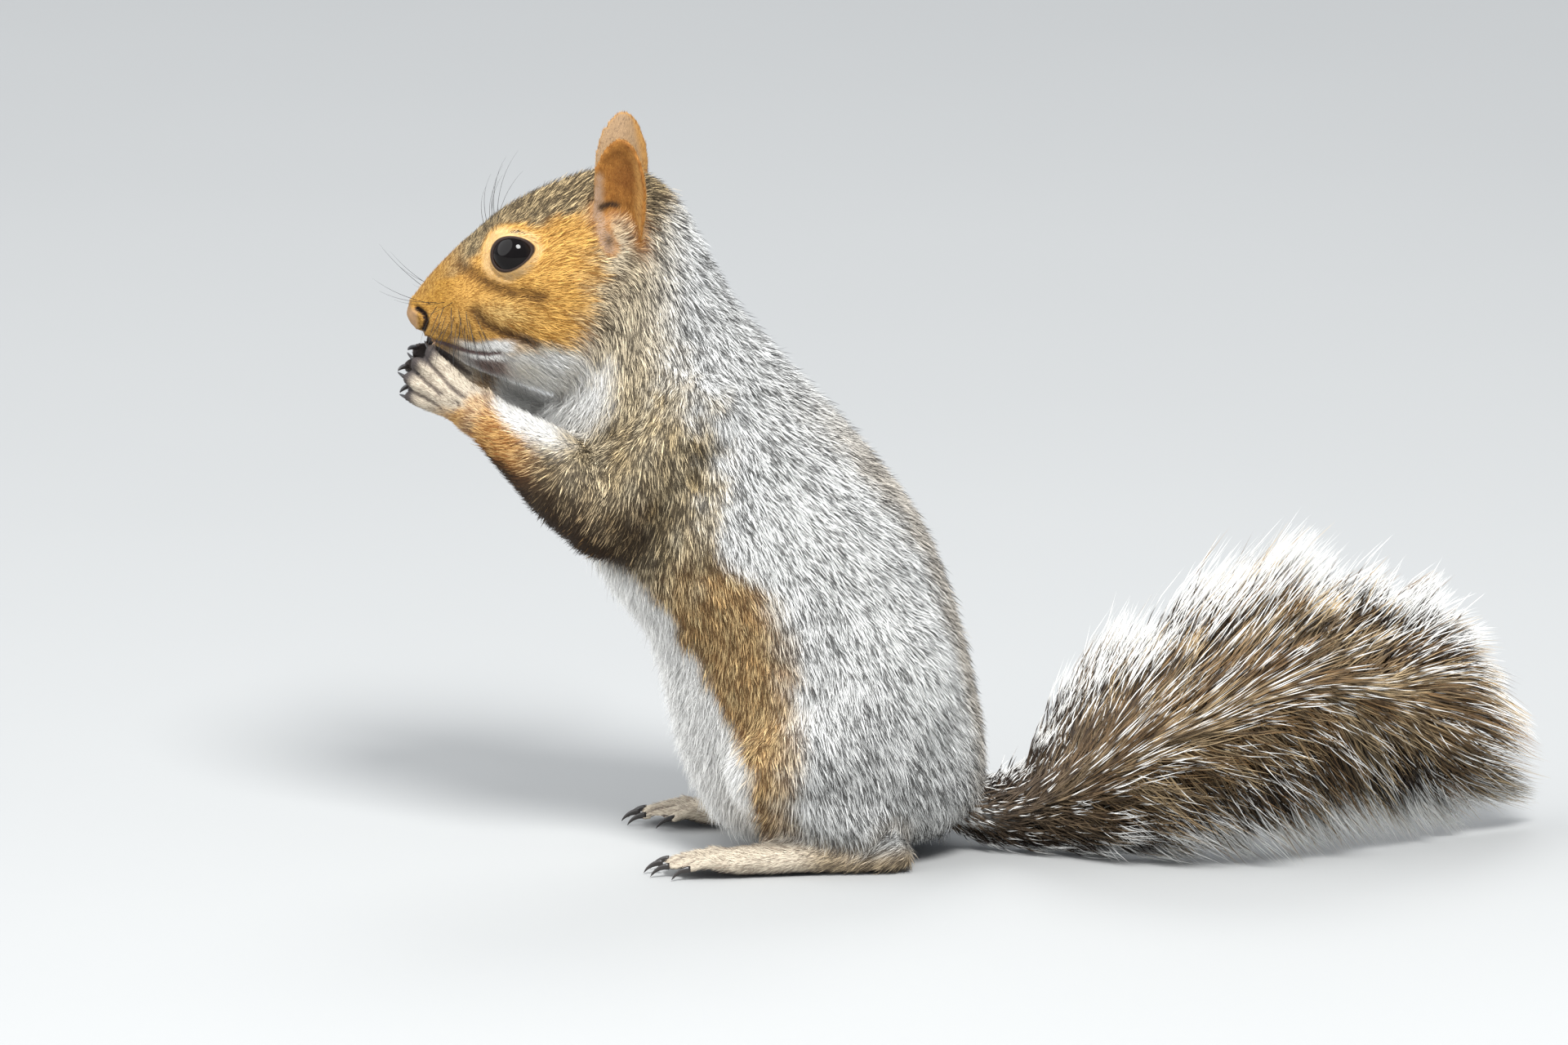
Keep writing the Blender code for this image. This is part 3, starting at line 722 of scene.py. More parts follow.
def markings(p, n, shares):
    """For each point: the pale colour and the dark one of its hairs, and the share that is dark."""
    x, y, z = folded(p)
    side = np.sign(p[:, 0])
    rough = waves(p, 9, 11) * 1.6 + waves(p, 3.5, 12) * 0.9
    light = np.tile(np.array(SILVER), (len(p), 1))
    dark = np.tile(np.array(CHARCOAL), (len(p), 1))
    share = np.full(len(p), 0.24) + 0.05 * waves(p, 14, 13)

    def paint(colour, shadow, ticks, where):
        nonlocal light, dark, share
        light = blend(light, colour, where)
        dark = blend(dark, shadow, where)
        share = share + (ticks - share) * where

    head, neck, trunk, ear, upper_arm, forearm, hand, leg, foot, tail = shares.T
    body = trunk + leg + neck

    # Trunk: a brownish wash down the spine, then the stripe and the belly
    spine = smooth(17, 5, x + rough) * smooth(0.0, 0.6, n[:, 1] + n[:, 2] * 0.4) * body
    paint(DUN, BLACK_BROWN, 0.42, spine * 0.45 * smooth(125, 95, z))
    paint(SILVER, CHARCOAL, 0.36, spine * 0.6 * smooth(105, 130, z))
    low = smooth(34, 12, z) * smooth(-12, 8, y) * body
    paint(SILVER, CHARCOAL, 0.34, low * 0.6)
    edge = belly_line(z)
    past = y + rough * 0.55 - edge - smooth(14, 0, x) * 3
    stripe = smooth(-2.0, 2.0, past) * smooth(6.0, -7.0, past - stripe_width(z)) * smooth(104, 84, z) * body
    rusty = waves(p, 5, 14)[:, None] * 0.12
    paint(np.array(RUST) * (1 + rusty * (0.3, 0.9, 1.6)), RUST_DARK, 0.46, stripe * 0.95)
    belly = smooth(2.6, -2.6, past) * body
    paint(WHITE, DOWN, 0.16, belly)
    # Shoulder and arm: straw with black ticks, darkest below, where the dark brown is partly the fur's own
    # and partly painted shade, then orange towards the hand
    around = np.sqrt(((y + 42) / 19) ** 2 + ((z - 96) / 29) ** 2) + rough * 0.07
    shoulder = smooth(1.30, 0.45, around) * (1 - belly) * smooth(5, 13, x)
    tan = np.array(STRAW) * (1 + waves(p, 7, 15)[:, None] * (0.04, 0.08, 0.16))
    paint(tan, BLACK_BROWN, 0.52, np.clip(shoulder * 1.1, 0, 1) * (body + upper_arm))
    arm = np.clip(upper_arm + forearm, 0, 1)
    low_front = np.clip(smooth(-36, -56, y + rough) + smooth(104, 88, z + rough), 0, 1)
    paint(tan, BLACK_BROWN, 0.54, np.clip(arm * 1.3, 0, 1) * low_front)
    paint(ORANGE, ORANGE_DARK, 0.42, arm * smooth(-63, -72, y + rough + (z - 95) * 0.2))
    # The arm's downward faces and lower edge: dark brown fur, deepened by painted shade
    under = smooth(0.25, -0.55, n[:, 2] + n[:, 1] * 0.25 + rough * 0.06) * smooth(104, 92, z)
    paint(BROWN, BLACK_BROWN, 0.80, arm * under * smooth(-35, -46, y))
    below = y * 0.593 + z * 0.805 + rough * 0.6
    paint(OCHRE, BLACK_BROWN, 0.70, arm * smooth(50, 38, below) * smooth(-76, -66, y) * 0.75)
    paint(BROWN, BLACK_BROWN, 0.90, arm * smooth(38.5, 34.5, below) * smooth(-86, -78, y))
    crease_width = np.interp(y, (-80, -72, -64, -56), (3.0, 3.8, 6.5, 7.0))
    crease = smooth(1.25, 0.1, (side_distance(p, CREASE) + rough * 0.4) / crease_width)
    paint(CREASE_WHITE, DOWN, 0.26, crease * (arm + neck + trunk))
    paint(WHITE, DOWN, 0.20, arm * smooth(0.2, 0.7, -side * n[:, 0]) * smooth(-84, -76, y))
    # Hands and feet
    paint(PAW, PAW_DARK, 0.36, hand)
    wrist, along, across, _ = hand_frame(1)
    from_wrist = columns(x, y, z) - wrist
    orange = smooth(7.5, 1.5, from_wrist @ along + from_wrist @ across * 0.9 + rough * 0.6)
    paint(ORANGE, ORANGE_DARK, 0.36, hand * orange)
    # Dark lines along the clefts between the fingers and toes: painted shade between them
    cleft = smooth(0.75, 0.25, cleft_distance(p))
    paint(PAW_DARK, PAD, 0.5, hand * cleft * 0.9)
    paint(PAD, PAD, 0.5, hand * smooth(6.5, 3.0, tip_distance(p, ("hand",))))
    paint(PAD, PAD, 0.5, hand * smooth(0.3, 0.8, -side * n[:, 0]) * smooth(-84, -90, y))
    paint(PAW, PAW_DARK, 0.30, foot)
    paint(DUN, BLACK_BROWN, 0.42, foot * smooth(-6, 4, y) * 0.8)
    paint(SILVER, CHARCOAL, 0.38, foot * smooth(6, 16, y) * smooth(3, 9, z))
    # Painted shade in the clefts between the toes
    paint(PAW_DARK, PAD, 0.4, foot * cleft * 0.85)
    paint(PAD, PAD, 0.5, foot * smooth(-0.55, -0.9, n[:, 2]))
    # Head
    paint(FACE, FACE_DARK, 0.30, head)
    rear = smooth(-62, -50, y + rough * 1.2 - (z - 140) * 0.12)
    paint(STRAW, BLACK_BROWN, 0.36, rear * np.clip(head + neck * smooth(-30, -45, y), 0, 1) * 0.8)
    paint(NAPE, BLACK_BROWN, 0.44, smooth(-57, -46, y + rough) * head)
    cheek = 127.0 + cheek_edge(y)
    lower = smooth(1.5, -1.5, z + rough * 0.4 - cheek)
    paint(CREAM, CREAM_DARK, 0.26, head * smooth(5.0, 0.0, z + rough - cheek) * smooth(-80, -66, y))
    paint(WHITE, DOWN, 0.14, head * lower)
    mouth_height = np.interp(y, *zip(*MOUTH))
    upper = smooth(0.2, 0.8, z - mouth_height) * smooth(3.4, 1.8, z - mouth_height - smooth(-86, -78, y))
    paint(WHITE, DOWN, 0.15, head * upper * smooth(-91, -86, y) * smooth(-72, -76, y))
    lip = np.clip(1.7 * spot(p, (8.5, -80.0, 123.3), (6.0, 4.6, 3.2)), 0, 1)
    paint(LOWER_LIP, LIP_DARK, 0.30, head * lip * smooth(1.0, 2.4, side_distance(p, MOUTH)))
    paint(CREAM, DOWN, 0.15, head * spot(p, (10.0, -71.5, 123.5), (6.0, 4.5, 3.5)) * 0.8)
    throat = smooth(130, 122, z + rough) * smooth(-46, -54, y) * neck
    paint(WHITE, DOWN, 0.15, throat)
    top = smooth(0.8, -0.8, (x - crown_edge(y) + rough * 0.35) / 1.5) * smooth(-0.1, 0.35, n[:, 2])
    top *= smooth(3.0, 4.5, both_lids(p).min(0))
    paint(CROWN, BLACK_BROWN, 0.60, top * head * smooth(-101, -95, y))
    for eye_side in SIDES.values():
        distance, u, _, _ = lid_distance(p, eye_side)
        here = (side == eye_side) * smooth(0.5, 0.9, head + 0.2)
        paint(EYE_RING, FACE, 0.15, here * smooth(3.5, 1.7, distance + 0.10 * u + rough * 0.15))
        paint(LID, LID, 0.5, here * smooth(0.6, 0.3, distance))
    # Dark lines under the eye and along the jowl: partly brown fur, partly painted shade in the creases
    # where the cheek bulges over the jaw
    paint(FACE_DARK, BLACK_BROWN, 0.50, head * bell(side_distance(p, GROOVE), 1.7) * 0.75)
    paint(FACE_DARK, BLACK_BROWN, 0.60, head * bell(side_distance(p, JOWL), 1.5) * 0.9)
    pouch = spot(p, (12.5, -76.0, 137.0), (6.0, 6.0, 3.0))
    paint(POUCH, FACE_DARK, 0.22, head * pouch * 0.6)
    paint(SNOUT, FACE_DARK, 0.40, head * smooth(-84, -93, y) * 0.85)
    pad = spot(p, (6.0, -91.0, 132.5), (5.0, 6.0, 4.0))
    paint(WHISKER_PAD, FACE_DARK, 0.30, head * pad * 0.9)
    nose = smooth(-95.9, -97.4, y + x * 0.15) * smooth(137.8, 135.8, z + (y + 100) * 0.4)
    paint(NOSE, NOSE, 0.3, nose * head)
    # The line of the mouth, near-black: painted shade in the slit between the lips
    paint(MOUTH_SHADE, MOUTH_SHADE, 0.5, head * smooth(0.9, 0.35, side_distance(p, MOUTH)))
    # The nostrils, near-black: painted shade in their holes
    paint(LID, LID, 0.5, head * smooth(0.85, 0.45, side_distance(p, NOSTRIL)))
    # Ears
    paint(EAR_BACK, EAR_BACK_DARK, 0.24, ear)
    inwards = smooth(-0.15, 0.35, n[:, 0] * side - n[:, 1] * 0.3)
    hollow = head * smooth(2.8, 1.6, side_distance(p, CONCHA)) * smooth(9.5, 11.5, x)
    inner = np.clip(ear * 1.3 + hollow, 0, 1) * inwards
    fleck = waves(p, 2.5, 16)[:, None]
    paint(np.array(EAR_IN) * (1.15 + 0.35 * fleck), ORANGE_DARK, 0.55, inner)
    paint(EAR_SHADE, ORANGE_DARK, 0.5, inner * spot(p, (14, -45.5, 171.0), (9, 3.5, 4.5)) * 0.8)
    paint(EAR_DEEP, BROWN, 0.25, inner * smooth(2.6, 0.6, side_distance(p, CONCHA) + rough * 0.3))
    # A fold in the ear and a pit below its hollow, painted near-black: painted shade
    paint(EAR_FOLD_SHADE, BLACK_BROWN, 0.5, inner * smooth(1.5, 0.2, side_distance(p, NOTCH)))
    paint(EAR_FOLD_SHADE, BLACK_BROWN, 0.5, inner * spot(p, (14, -50.6, 155.0), (9, 1.2, 1.7)) * 0.8)
    paint(EAR_RIM, ORANGE_DARK, 0.3, inner * spot(p, (14, -47.2, 157.5), (9, 1.6, 4.0)) * 0.9)
    rim = smooth(0.75, 0.35, np.abs(n[:, 0]))
    paint(EAR_RIM, ORANGE_DARK, 0.25, ear * rim)
    paint(TAIL_BROWN, BLACK_BROWN, 0.5, tail * smooth(30, 60, y))
    return light, dark, np.clip(share, 0.02, 0.95)


# The lie of the coat


def lie(p, n, shares):
    """The direction that the coat lies in at each point, along the skin."""
    y, z = p[:, 1], p[:, 2]
    side = np.sign(p[:, 0])
    ways = {}
    nose = np.array((0.0, -106.0, 133.0))
    ways["head"] = unit(p - nose) + np.array((0.0, 0.35, -0.10))
    back = 0.05 + 0.42 * smooth(-42, -8, y - (z - 90) * 0.35)
    down = smooth(90, 20, z)
    ways["neck"] = columns(0, back + 0.1, -0.86)
    ways["trunk"] = columns(side * 0.10 * (1 - down), back * (1 - 0.5 * down), -0.85 - 0.1 * down)
    ways["ear"] = columns(side * 0.1, 0.1, 1)
    low_arm = smooth(100, 84, z)[:, None]
    ways["upper_arm"] = np.array((0, 0.05, -1.0)) * (1 - low_arm) + np.array((0, -0.7, -0.75)) * low_arm
    ways["forearm"] = columns(-0.12 * side, -0.95, -0.5 + 0.8 * smooth(-64, -84, y))
    ways["forepaw"] = columns(-0.14 * side, -0.86, 0.45)
    front = smooth(4, -14, y) * smooth(34, 14, z)
    ways["hind_leg"] = columns(0, 0.30 - 0.75 * front, -0.9 + 0.2 * front)
    ways["hind_foot"] = np.array((0.0, -1.0, -0.25))
    ways["tail"] = np.array((0.0, 1.0, 0.1))
    total = np.zeros_like(p)
    for name in REGIONS:
        total += unit(ways[name]) * column(shares, name)[:, None]
    return across_from(unit(total) + lanes(p, 20, 11) * 0.16, n)


def coat_plan(p, n, shares):
    """Tuft length, width, lift and density at each point."""
    plan = shares @ np.array([COAT[r][1:] for r in REGIONS], float)
    length, width, lift, density = plan.T
    x, y, z = folded(p)
    head, neck, trunk, ear, _, _, _, _, foot, tail = shares.T
    face = smooth(-62, -90, y)
    length = length * (1 + head * (0.45 - 0.95 * face))
    width = width * (1 + head * (0.12 - 0.34 * face))
    density = density * (1 + head * (1.0 * face - 0.15))
    body = trunk + neck
    belly = smooth(2, -3, y - belly_line(z)) * body
    ruff = spot(p, (0.0, -61.0, 113.0), (16.0, 9.0, 10.0)) * np.clip(body + head, 0, 1)
    length = length * (1 + 0.30 * belly + 1.1 * ruff)
    width = width * (1 + 0.3 * ruff)
    lift = lift + 4 * belly + 18 * ruff
    bare = np.ones(len(p))
    for side in SIDES.values():
        distance, _, _, _ = lid_distance(p, side)
        bare *= smooth(0.75, 1.25, distance)
        length = length * (0.55 + 0.45 * smooth(1.0, 5.0, distance))
    bare *= smooth(0.55, 0.95, side_distance(p, NOSTRIL)) * smooth(0.3, 0.6, side_distance(p, MOUTH))
    nose = smooth(-95.9, -97.4, y + x * 0.15) * smooth(137.4, 135.8, z + (y + 100) * 0.4)
    bare *= 1 - nose * head
    bare *= 1 - 0.7 * smooth(0.3, 0.9, tail)
    inside = smooth(0.0, 0.4, n[:, 0] * np.sign(p[:, 0]) - n[:, 1] * 0.3) * ear
    density = density * (1 - 0.35 * inside)
    hollow = smooth(4.0, 2.0, side_distance(p, CONCHA)) * smooth(9.0, 11.0, x) * head
    length = length * (1 - 0.62 * hollow)
    width = width * (1 - 0.3 * hollow)
    tips = tip_distance(p, ("hand", "foot"))
    length = length * (0.5 + 0.5 * smooth(2, 9, tips))
    bare *= smooth(1.6, 2.6, tips)
    length = length * (0.55 + 0.45 * smooth(0.3, 1.0, cleft_distance(p)))
    length = length * (1 + 0.8 * foot * smooth(-2, 12, y))
    bare *= 1 - foot * smooth(-0.5, -0.8, n[:, 2])
    return length, width, lift, density * bare


# Tufts


def scatter(source, points, faces, density):
    """Places spread evenly over a skin: which triangle each is in, and its shares of the corners."""
    corners = points[faces]
    across = np.cross(corners[:, 1] - corners[:, 0], corners[:, 2] - corners[:, 0])
    area = np.linalg.norm(across, axis=1) / 2
    expected = np.cumsum(area * density[faces].mean(1))
    count = int(expected[-1])
    places = (np.arange(count) + source.uniform(0, 1, count)) * expected[-1] / count
    triangle = np.searchsorted(expected, places).clip(0, len(faces) - 1)
    a, b = np.sqrt(source.uniform(0, 1, count)), source.uniform(0, 1, count)
    return triangle, columns(1 - a, a * (1 - b), a * b)


def at(values, faces, triangle, shares):
    """Values at the vertices, read at the scattered places."""
    found = values[faces[triangle]]
    if values.ndim == 1:
        return np.sum(found * shares, axis=1)
    return np.sum(found * shares[:, :, None], axis=1)


def tufts(lines, across, up, width, colours, soft, spots, taper):
    """Solid three-sided tufts: points, triangles, colours, normals and places on the OFBake map.

    lines holds each tuft's centre line as (tufts, rings + 1, 3), with the last point as its tip,
    and colours one colour for each of these. soft is the normal that the tuft's own is mixed with.
    """
    count, rings = lines.shape[0], lines.shape[1] - 1
    angle = np.radians((90.0, 210.0, 330.0))
    half = (width / 2)[:, None] * np.asarray(taper)[None, :]
    spokes = across[:, None, None] * np.cos(angle)[:, None]
    spokes = spokes + up[:, None, None] * np.sin(angle)[:, None] * 0.7
    ring_points = lines[:, :-1, None] + spokes * half[:, :, None, None]
    points = np.concatenate((ring_points.reshape(count, rings * 3, 3), lines[:, -1:]), axis=1)
    size = rings * 3 + 1
    pattern = [(0, 2, 1)]
    for r in range(rings - 1):
        for k in range(3):
            a, b = r * 3 + k, r * 3 + (k + 1) % 3
            pattern += [(a, b, b + 3), (a, b + 3, a + 3)]
    last = (rings - 1) * 3
    pattern += [(last + k, last + (k + 1) % 3, size - 1) for k in range(3)]
    faces = (np.arange(count) * size)[:, None, None] + np.array(pattern)[None]
    own = np.broadcast_to(spokes, ring_points.shape).reshape(count, rings * 3, 3)
    own = np.concatenate((own, up[:, None]), axis=1)
    normals = unit(unit(own) * 0.45 + soft[:, None])
    shade = np.concatenate((np.repeat(colours[:, :-1], 3, axis=1), colours[:, -1:]), axis=1)
    down = np.concatenate((np.repeat(np.linspace(-0.5, 0.2, rings), 3), (0.5,)))
    over = np.concatenate((np.tile((0.0, -0.4, 0.4), rings), (0.0,)))
    over[0::3] += np.linspace(0.1, 0.3, len(over[0::3]))
    spread = columns(over, down) * PATCH
    uv = spots[:, None] + spread[None]
    return [a.reshape(-1, a.shape[-1]) for a in (points, faces, shade, normals, uv)]


def coat_piece(name, batch, finish):
    points, faces, shade, normals, uv = batch
    mesh = new_mesh(name, points, faces)
    colour_in(mesh, "Coat", shade)
    places = mesh.uv_layers.new(name="OFBake")
    places.uv.foreach_set("vector", uv[faces.ravel()].astype(np.float32).ravel())
    mesh.normals_split_custom_set_from_vertices(normals.astype(np.float32))
    placed(name, mesh, finish)


def unwrapped(points, faces):
    """An unwrap of the skin's own shape, thinned out: its tree, triangles, points and map."""
    rough = new_object("rough", new_mesh("rough", points, faces))
    thin = rough.modifiers.new("Thin", "DECIMATE")
    thin.ratio = UNWRAP_TRIANGLES / len(faces)
    settle(rough)
    for made in bpy.context.selected_objects:
        made.select_set(False)
    rough.select_set(True)
    bpy.context.view_layer.objects.active = rough
    rough.data.uv_layers.new(name="Unwrap")
    bpy.ops.object.mode_set(mode="EDIT")
    bpy.ops.mesh.select_all(action="SELECT")
    bpy.ops.uv.smart_project(angle_limit=math.radians(72), island_margin=0.006)
    bpy.ops.object.mode_set(mode="OBJECT")
    mesh = rough.data
    uv = read(mesh.uv_layers["Unwrap"].uv, "vector", 2).reshape(-1, 3, 2)
    low = points_of(mesh)
    triangles = read(mesh.loops, "vertex_index", 1, np.int32).reshape(-1, 3)
    tree = BVHTree.FromPolygons(low.tolist(), triangles.tolist())
    bpy.data.objects.remove(rough)
    return tree, triangles, low, uv


def spots_on(unwrap, places):
    """Where each place lies on the unwrap."""
    tree, triangles, low, uv = unwrap
    found = [tree.find_nearest(Vector(p)) for p in places]
    index = np.array([f[2] for f in found])
    on = np.array([f[0] for f in found])
    a, b, c = (low[triangles[index, k]] for k in range(3))
    ab, ac, ap = b - a, c - a, on - a
    bb, bc, cc, pb, pc = (np.sum(s * t, 1) for s, t in ((ab, ab), (ab, ac), (ac, ac), (ap, ab), (ap, ac)))
    bottom = np.maximum(bb * cc - bc * bc, 1e-12)
    v = np.clip((cc * pb - bc * pc) / bottom, 0, 1)
    w = np.clip((bb * pc - bc * pb) / bottom, 0, 1)
    return sum(uv[index, k] * part[:, None] for k, part in enumerate((1 - v - w, v, w)))


def short_coat(skin, unwrap, finish):
    """The tufts over the whole body, dealt out evenly to a few pieces."""
    points, faces, normals, edges, shares = skin
    source = np.random.default_rng(7)
    soft_normals = unit(relaxed(normals, edges, 3))
    plan = coat_plan(points, normals, shares)
    triangle, corner = scatter(source, points, faces, plan[3])
    p = at(points, faces, triangle, corner)
    n = unit(at(soft_normals, faces, triangle, corner))
    part = at(shares, faces, triangle, corner)
    length, width, lift, _ = (at(values, faces, triangle, corner) for values in plan)
    light, dark, share = markings(p, n, part)
    along = at(relaxed(lie(points, normals, shares), edges, 30), faces, triangle, corner)
    along = across_from(along, n)
    count = len(p)
    across = unit(np.cross(n, along))
    turn = np.radians(source.normal(0, 9, count))[:, None]
    along = along * np.cos(turn) + across * np.sin(turn)
    across = unit(np.cross(n, along))
    length = length * source.uniform(0.65, 1.2, count)
    width = width * source.uniform(0.75, 1.25, count)
    lift = np.radians(np.clip(lift * source.normal(1, 0.28, count), 3, 60))

    ticked = (source.uniform(0, 1, count) < share * TICKS + 0.18 * waves(p, 2.4, 31))[:, None]
    width = width * np.where(ticked[:, 0], 1.22, 1.0)
    lift = lift * np.where(ticked[:, 0], 1.12, 1.0)
    value = source.normal(1, 0.09, count)[:, None]
    tip = np.where(ticked, dark, light) * value
    shade = np.clip(share * 1.1, 0, 0.9)
    base = blend(light, dark, shade) * 0.75
    mid = np.where(ticked, blend(light, dark, 0.85 + 0.1 * shade), light * 0.94) * value
    root = np.where(ticked, blend(light, dark, 0.62 + 0.3 * shade), blend(light, dark, shade)) * 0.9 * value
    spots = spots_on(unwrap, p)
    piece = source.permutation(count) % COAT_PIECES
    guard = (source.uniform(0, 1, count) < GUARD_HAIRS) & (length > GUARD_LENGTH)
    length = np.where(guard, length * 1.25, length * 0.95)
    lift = np.where(guard, lift * 1.15, lift)
    kinds = ((guard, (base, mid, tip), (1.0, 0.85)), (~guard, (root, tip), (1.0,)))
    for index in range(COAT_PIECES):
        batch = []
        for kind, colours, taper in kinds:
            pick = np.nonzero(kind & (piece == index))[0]
            up = n[pick]
            step = length[pick, None] / len(taper)
            line = [p[pick] - up * (SUNK * length[pick])[:, None]]
            for r in range(len(taper)):
                angle = (lift[pick] * (1.25 - 0.6 * r))[:, None]
                move = along[pick] * np.cos(angle) + up * np.sin(angle)
                line.append(line[-1] + move * step)
            lines = np.stack(line, 1)
            lines[..., 2] = np.maximum(lines[..., 2], LOWEST)
            shades = np.stack([colour[pick] for colour in colours], 1)
            batch.append(tufts(lines, across[pick], up, width[pick], shades, up, spots[pick], taper))
        coat_piece(f"coat_{index + 1}", merged(batch), finish)


def plume(finish):
    """The long hairs of the tail, from its core to the outline, in a few pieces."""
    source = np.random.default_rng(19)
    middle, half, thick = tail_path()
    knots = np.arange(len(middle))
    reach = np.concatenate(((0,), np.cumsum(np.linalg.norm(np.diff(middle, axis=0), axis=1))))
    total = reach[-1]
    ahead = unit(np.gradient(middle, axis=0))
    count = TAIL_HAIRS

    def station(s):
        knot = np.interp(s, reach, knots)
        rows = np.hstack((middle, half, ahead, thick[:, None]))
        found = columns(*(np.interp(knot, knots, row) for row in rows.T))
        return found[:, :3], found[:, 3:6], found[:, 6:9], found[:, 9]

    # The tips first, spread evenly over the plume's outline and into its depth
    height = np.linalg.norm(half, axis=1)
    weight = np.cumsum(np.maximum(height, 8))
    at_tip = (np.arange(count) + source.uniform(0, 1, count)) / count
    s_tip = np.interp(np.interp(at_tip, weight / weight[-1], knots), knots, reach)
    angle = source.uniform(0, 2 * np.pi, count)
    angle += 0.42 * np.sin(2 * angle)  # crowds them towards the two edges of the plume
    rising, flat = np.sin(angle), np.cos(angle)
    centre, rise, way, wide = station(s_tip)
    size = np.linalg.norm(rise, axis=1)
    lobes = waves(centre + rise * rising[:, None] + UP * 3 * flat[:, None], 13, 41)
    full = source.uniform(0.30, 1.0, count) ** 0.5
    full *= 1 + 0.11 * lobes + 0.16 * (source.uniform(0, 1, count) < 0.07)
    tip = centre + rise * (rising * full)[:, None]
    tip[:, 0] += wide * flat * full
    rake = np.clip(size * source.uniform(0.30, 0.85, count), 6, 24) * (0.45 + 0.55 * full)
    s_root = np.minimum(s_tip - rake, (CORE_END - 0.01) * total * source.uniform(0.86, 1.0, count))
    s_root = np.maximum(s_root, source.uniform(0, 5, count))
    centre_0, rise_0, way_0, _ = station(s_root)
    core = np.interp(s_root / total, np.linspace(0, 1, len(TAIL_CORE)), TAIL_CORE)
    spoke = unit(rise_0) * rising[:, None] + np.array((1.0, 0, 0)) * flat[:, None]
    root = centre_0 + spoke * (core * 0.75)[:, None]
    round_end = np.sqrt(np.maximum(1 - (rising * full) ** 2, 0)) * smooth(0.84, 1.0, s_tip / total)
    tip += way * (round_end * 6)[:, None]
    tip += lanes(tip, 50, 12) * 1.5 + source.normal(0, 0.7, (count, 3))
    tip[:, 2] -= 9 * smooth(-0.1, -0.9, rising) * smooth(0.3, 0.6, s_tip / total) * full
    tip[:, 2] = np.maximum(tip[:, 2], source.uniform(0.3, 1.4, count))
    reached = np.linalg.norm(tip - root, axis=1)
    bow = spoke * (reached * 0.26)[:, None] - way_0 * (reached * 0.02)[:, None]
    control = root + (tip - root) * 0.45 + bow
    steps = np.array((0, 0.36, 0.62, 0.74, 1.0))[None, :, None]
    lines = root[:, None] * (1 - steps) ** 2 + control[:, None] * 2 * steps * (1 - steps)
    lines = lines + tip[:, None] * steps**2
    lines[..., 2] = np.maximum(lines[..., 2], 0.3)

    # Bands: ochre near the core, then black, then white ends; fewer white ends on the broad faces
    rim = smooth(0.60, 0.90, np.abs(rising) * full)
    tone = waves(tip, 17, 61)
    clump = waves(tip, 9, 62)
    brown = smooth(0.10, 0.34, s_root / total)[:, None]
    ochre = blend(np.tile(np.array(OCHRE_DARK), (count, 1)), OCHRE, smooth(-0.8, 0.8, tone))
    ochre = np.array(TAIL_BROWN) * (1 - brown) + ochre * brown
    white = np.array(WHITE) * source.uniform(0.85, 1.02, count)[:, None]
    pale = (source.uniform(0, 1, count) < 0.27 + 0.68 * rim + 0.30 * clump)[:, None]
    dark_end = blend(ochre, BLACK_BROWN, source.uniform(0.25, 1, count))
    second = blend(ochre, BLACK_BROWN, np.clip(0.38 + 0.6 * rim + source.normal(0, 0.25, count), 0, 1))
    third = blend(ochre, BLACK_BROWN, np.clip(0.86 + 0.3 * rim + source.normal(0, 0.15, count), 0, 1))
    fourth = np.where(pale, white * 0.9, dark_end)
    last = np.where(pale, white, ochre * 1.1)
    colours = np.stack((ochre * 0.5, second, third, fourth, last), 1)
    colours = colours * source.normal(1, 0.08, count)[:, None, None]

    out = unit(spoke + way_0 * 0.2)
    line_way = unit(lines[:, -1] - lines[:, 0])
    across = unit(np.cross(out, line_way))
    up = np.cross(line_way, across)
    width = source.uniform(*TAIL_WIDTHS, count)
    spots = columns(s_root / total, angle / (2 * np.pi) % 1) * 0.98 + 0.01
    piece = source.permutation(count) % TAIL_PIECES
    for index in range(TAIL_PIECES):
        pick = piece == index
        batch = (values[pick] for values in (lines, across, up, width, colours, out, spots))
        coat_piece(f"tail_hair_{index + 1}", tufts(*batch, (0.8, 1.0, 0.95, 0.7)), finish)


# Materials


def fill(tree, node, **inputs):
    """Sets a node's inputs to values, or links them to the outputs of other nodes."""
    for name, value in inputs.items():
        socket = node.inputs[name.replace("_", " ")]
        if isinstance(value, bpy.types.NodeSocket):
            tree.links.new(value, socket)
        else:
            socket.default_value = value


def add(tree, kind, output, **inputs):
    """Adds a node and returns one of its outputs."""
    made = tree.nodes.new("ShaderNode" + kind)
    fill(tree, made, **inputs)
    return made.outputs[output]


def noise(tree, place, scale, detail):
    return add(tree, "TexNoise", "Fac", Vector=place, Scale=scale, Detail=detail)


def ranged(tree, value, low, high):
    return add(tree, "MapRange", "Result", Value=value, To_Min=low, To_Max=high)


def bumped(tree, height, strength, depth):
    return add(tree, "Bump", "Normal", Height=height, Strength=strength, Distance=depth)


def new_material(name):
    """A material, its node tree, its surface, and places in the object's own axes."""
    made = bpy.data.materials.new(name)
    made.use_nodes = True
    tree = made.node_tree
    return made, tree, tree.nodes["Principled BSDF"], add(tree, "TexCoord", "Object")


def coloured(name, attribute, roughness, variation, grain, bump, sheen=0.0):
    """A material that takes its markings from a colour attribute, and varies them finely."""
    made, tree, surface, place = new_material(name)
    marks = tree.nodes.new("ShaderNodeVertexColor")
    marks.layer_name = attribute
    fine = noise(tree, place, grain, 3)
    value = ranged(tree, fine, 1 - variation, 1 + variation)
    shade = add(tree, "HueSaturation", "Color", Color=marks.outputs["Color"], Value=value)
    rough = ranged(tree, fine, roughness - 0.08, roughness + 0.08)
    lump = bumped(tree, noise(tree, place, grain * 2, 4), bump, 0.0003)
    fill(tree, surface, Base_Color=shade, Roughness=rough, Normal=lump)
    fill(tree, surface, Specular_IOR_Level=0.18, Sheen_Weight=sheen)
    return made


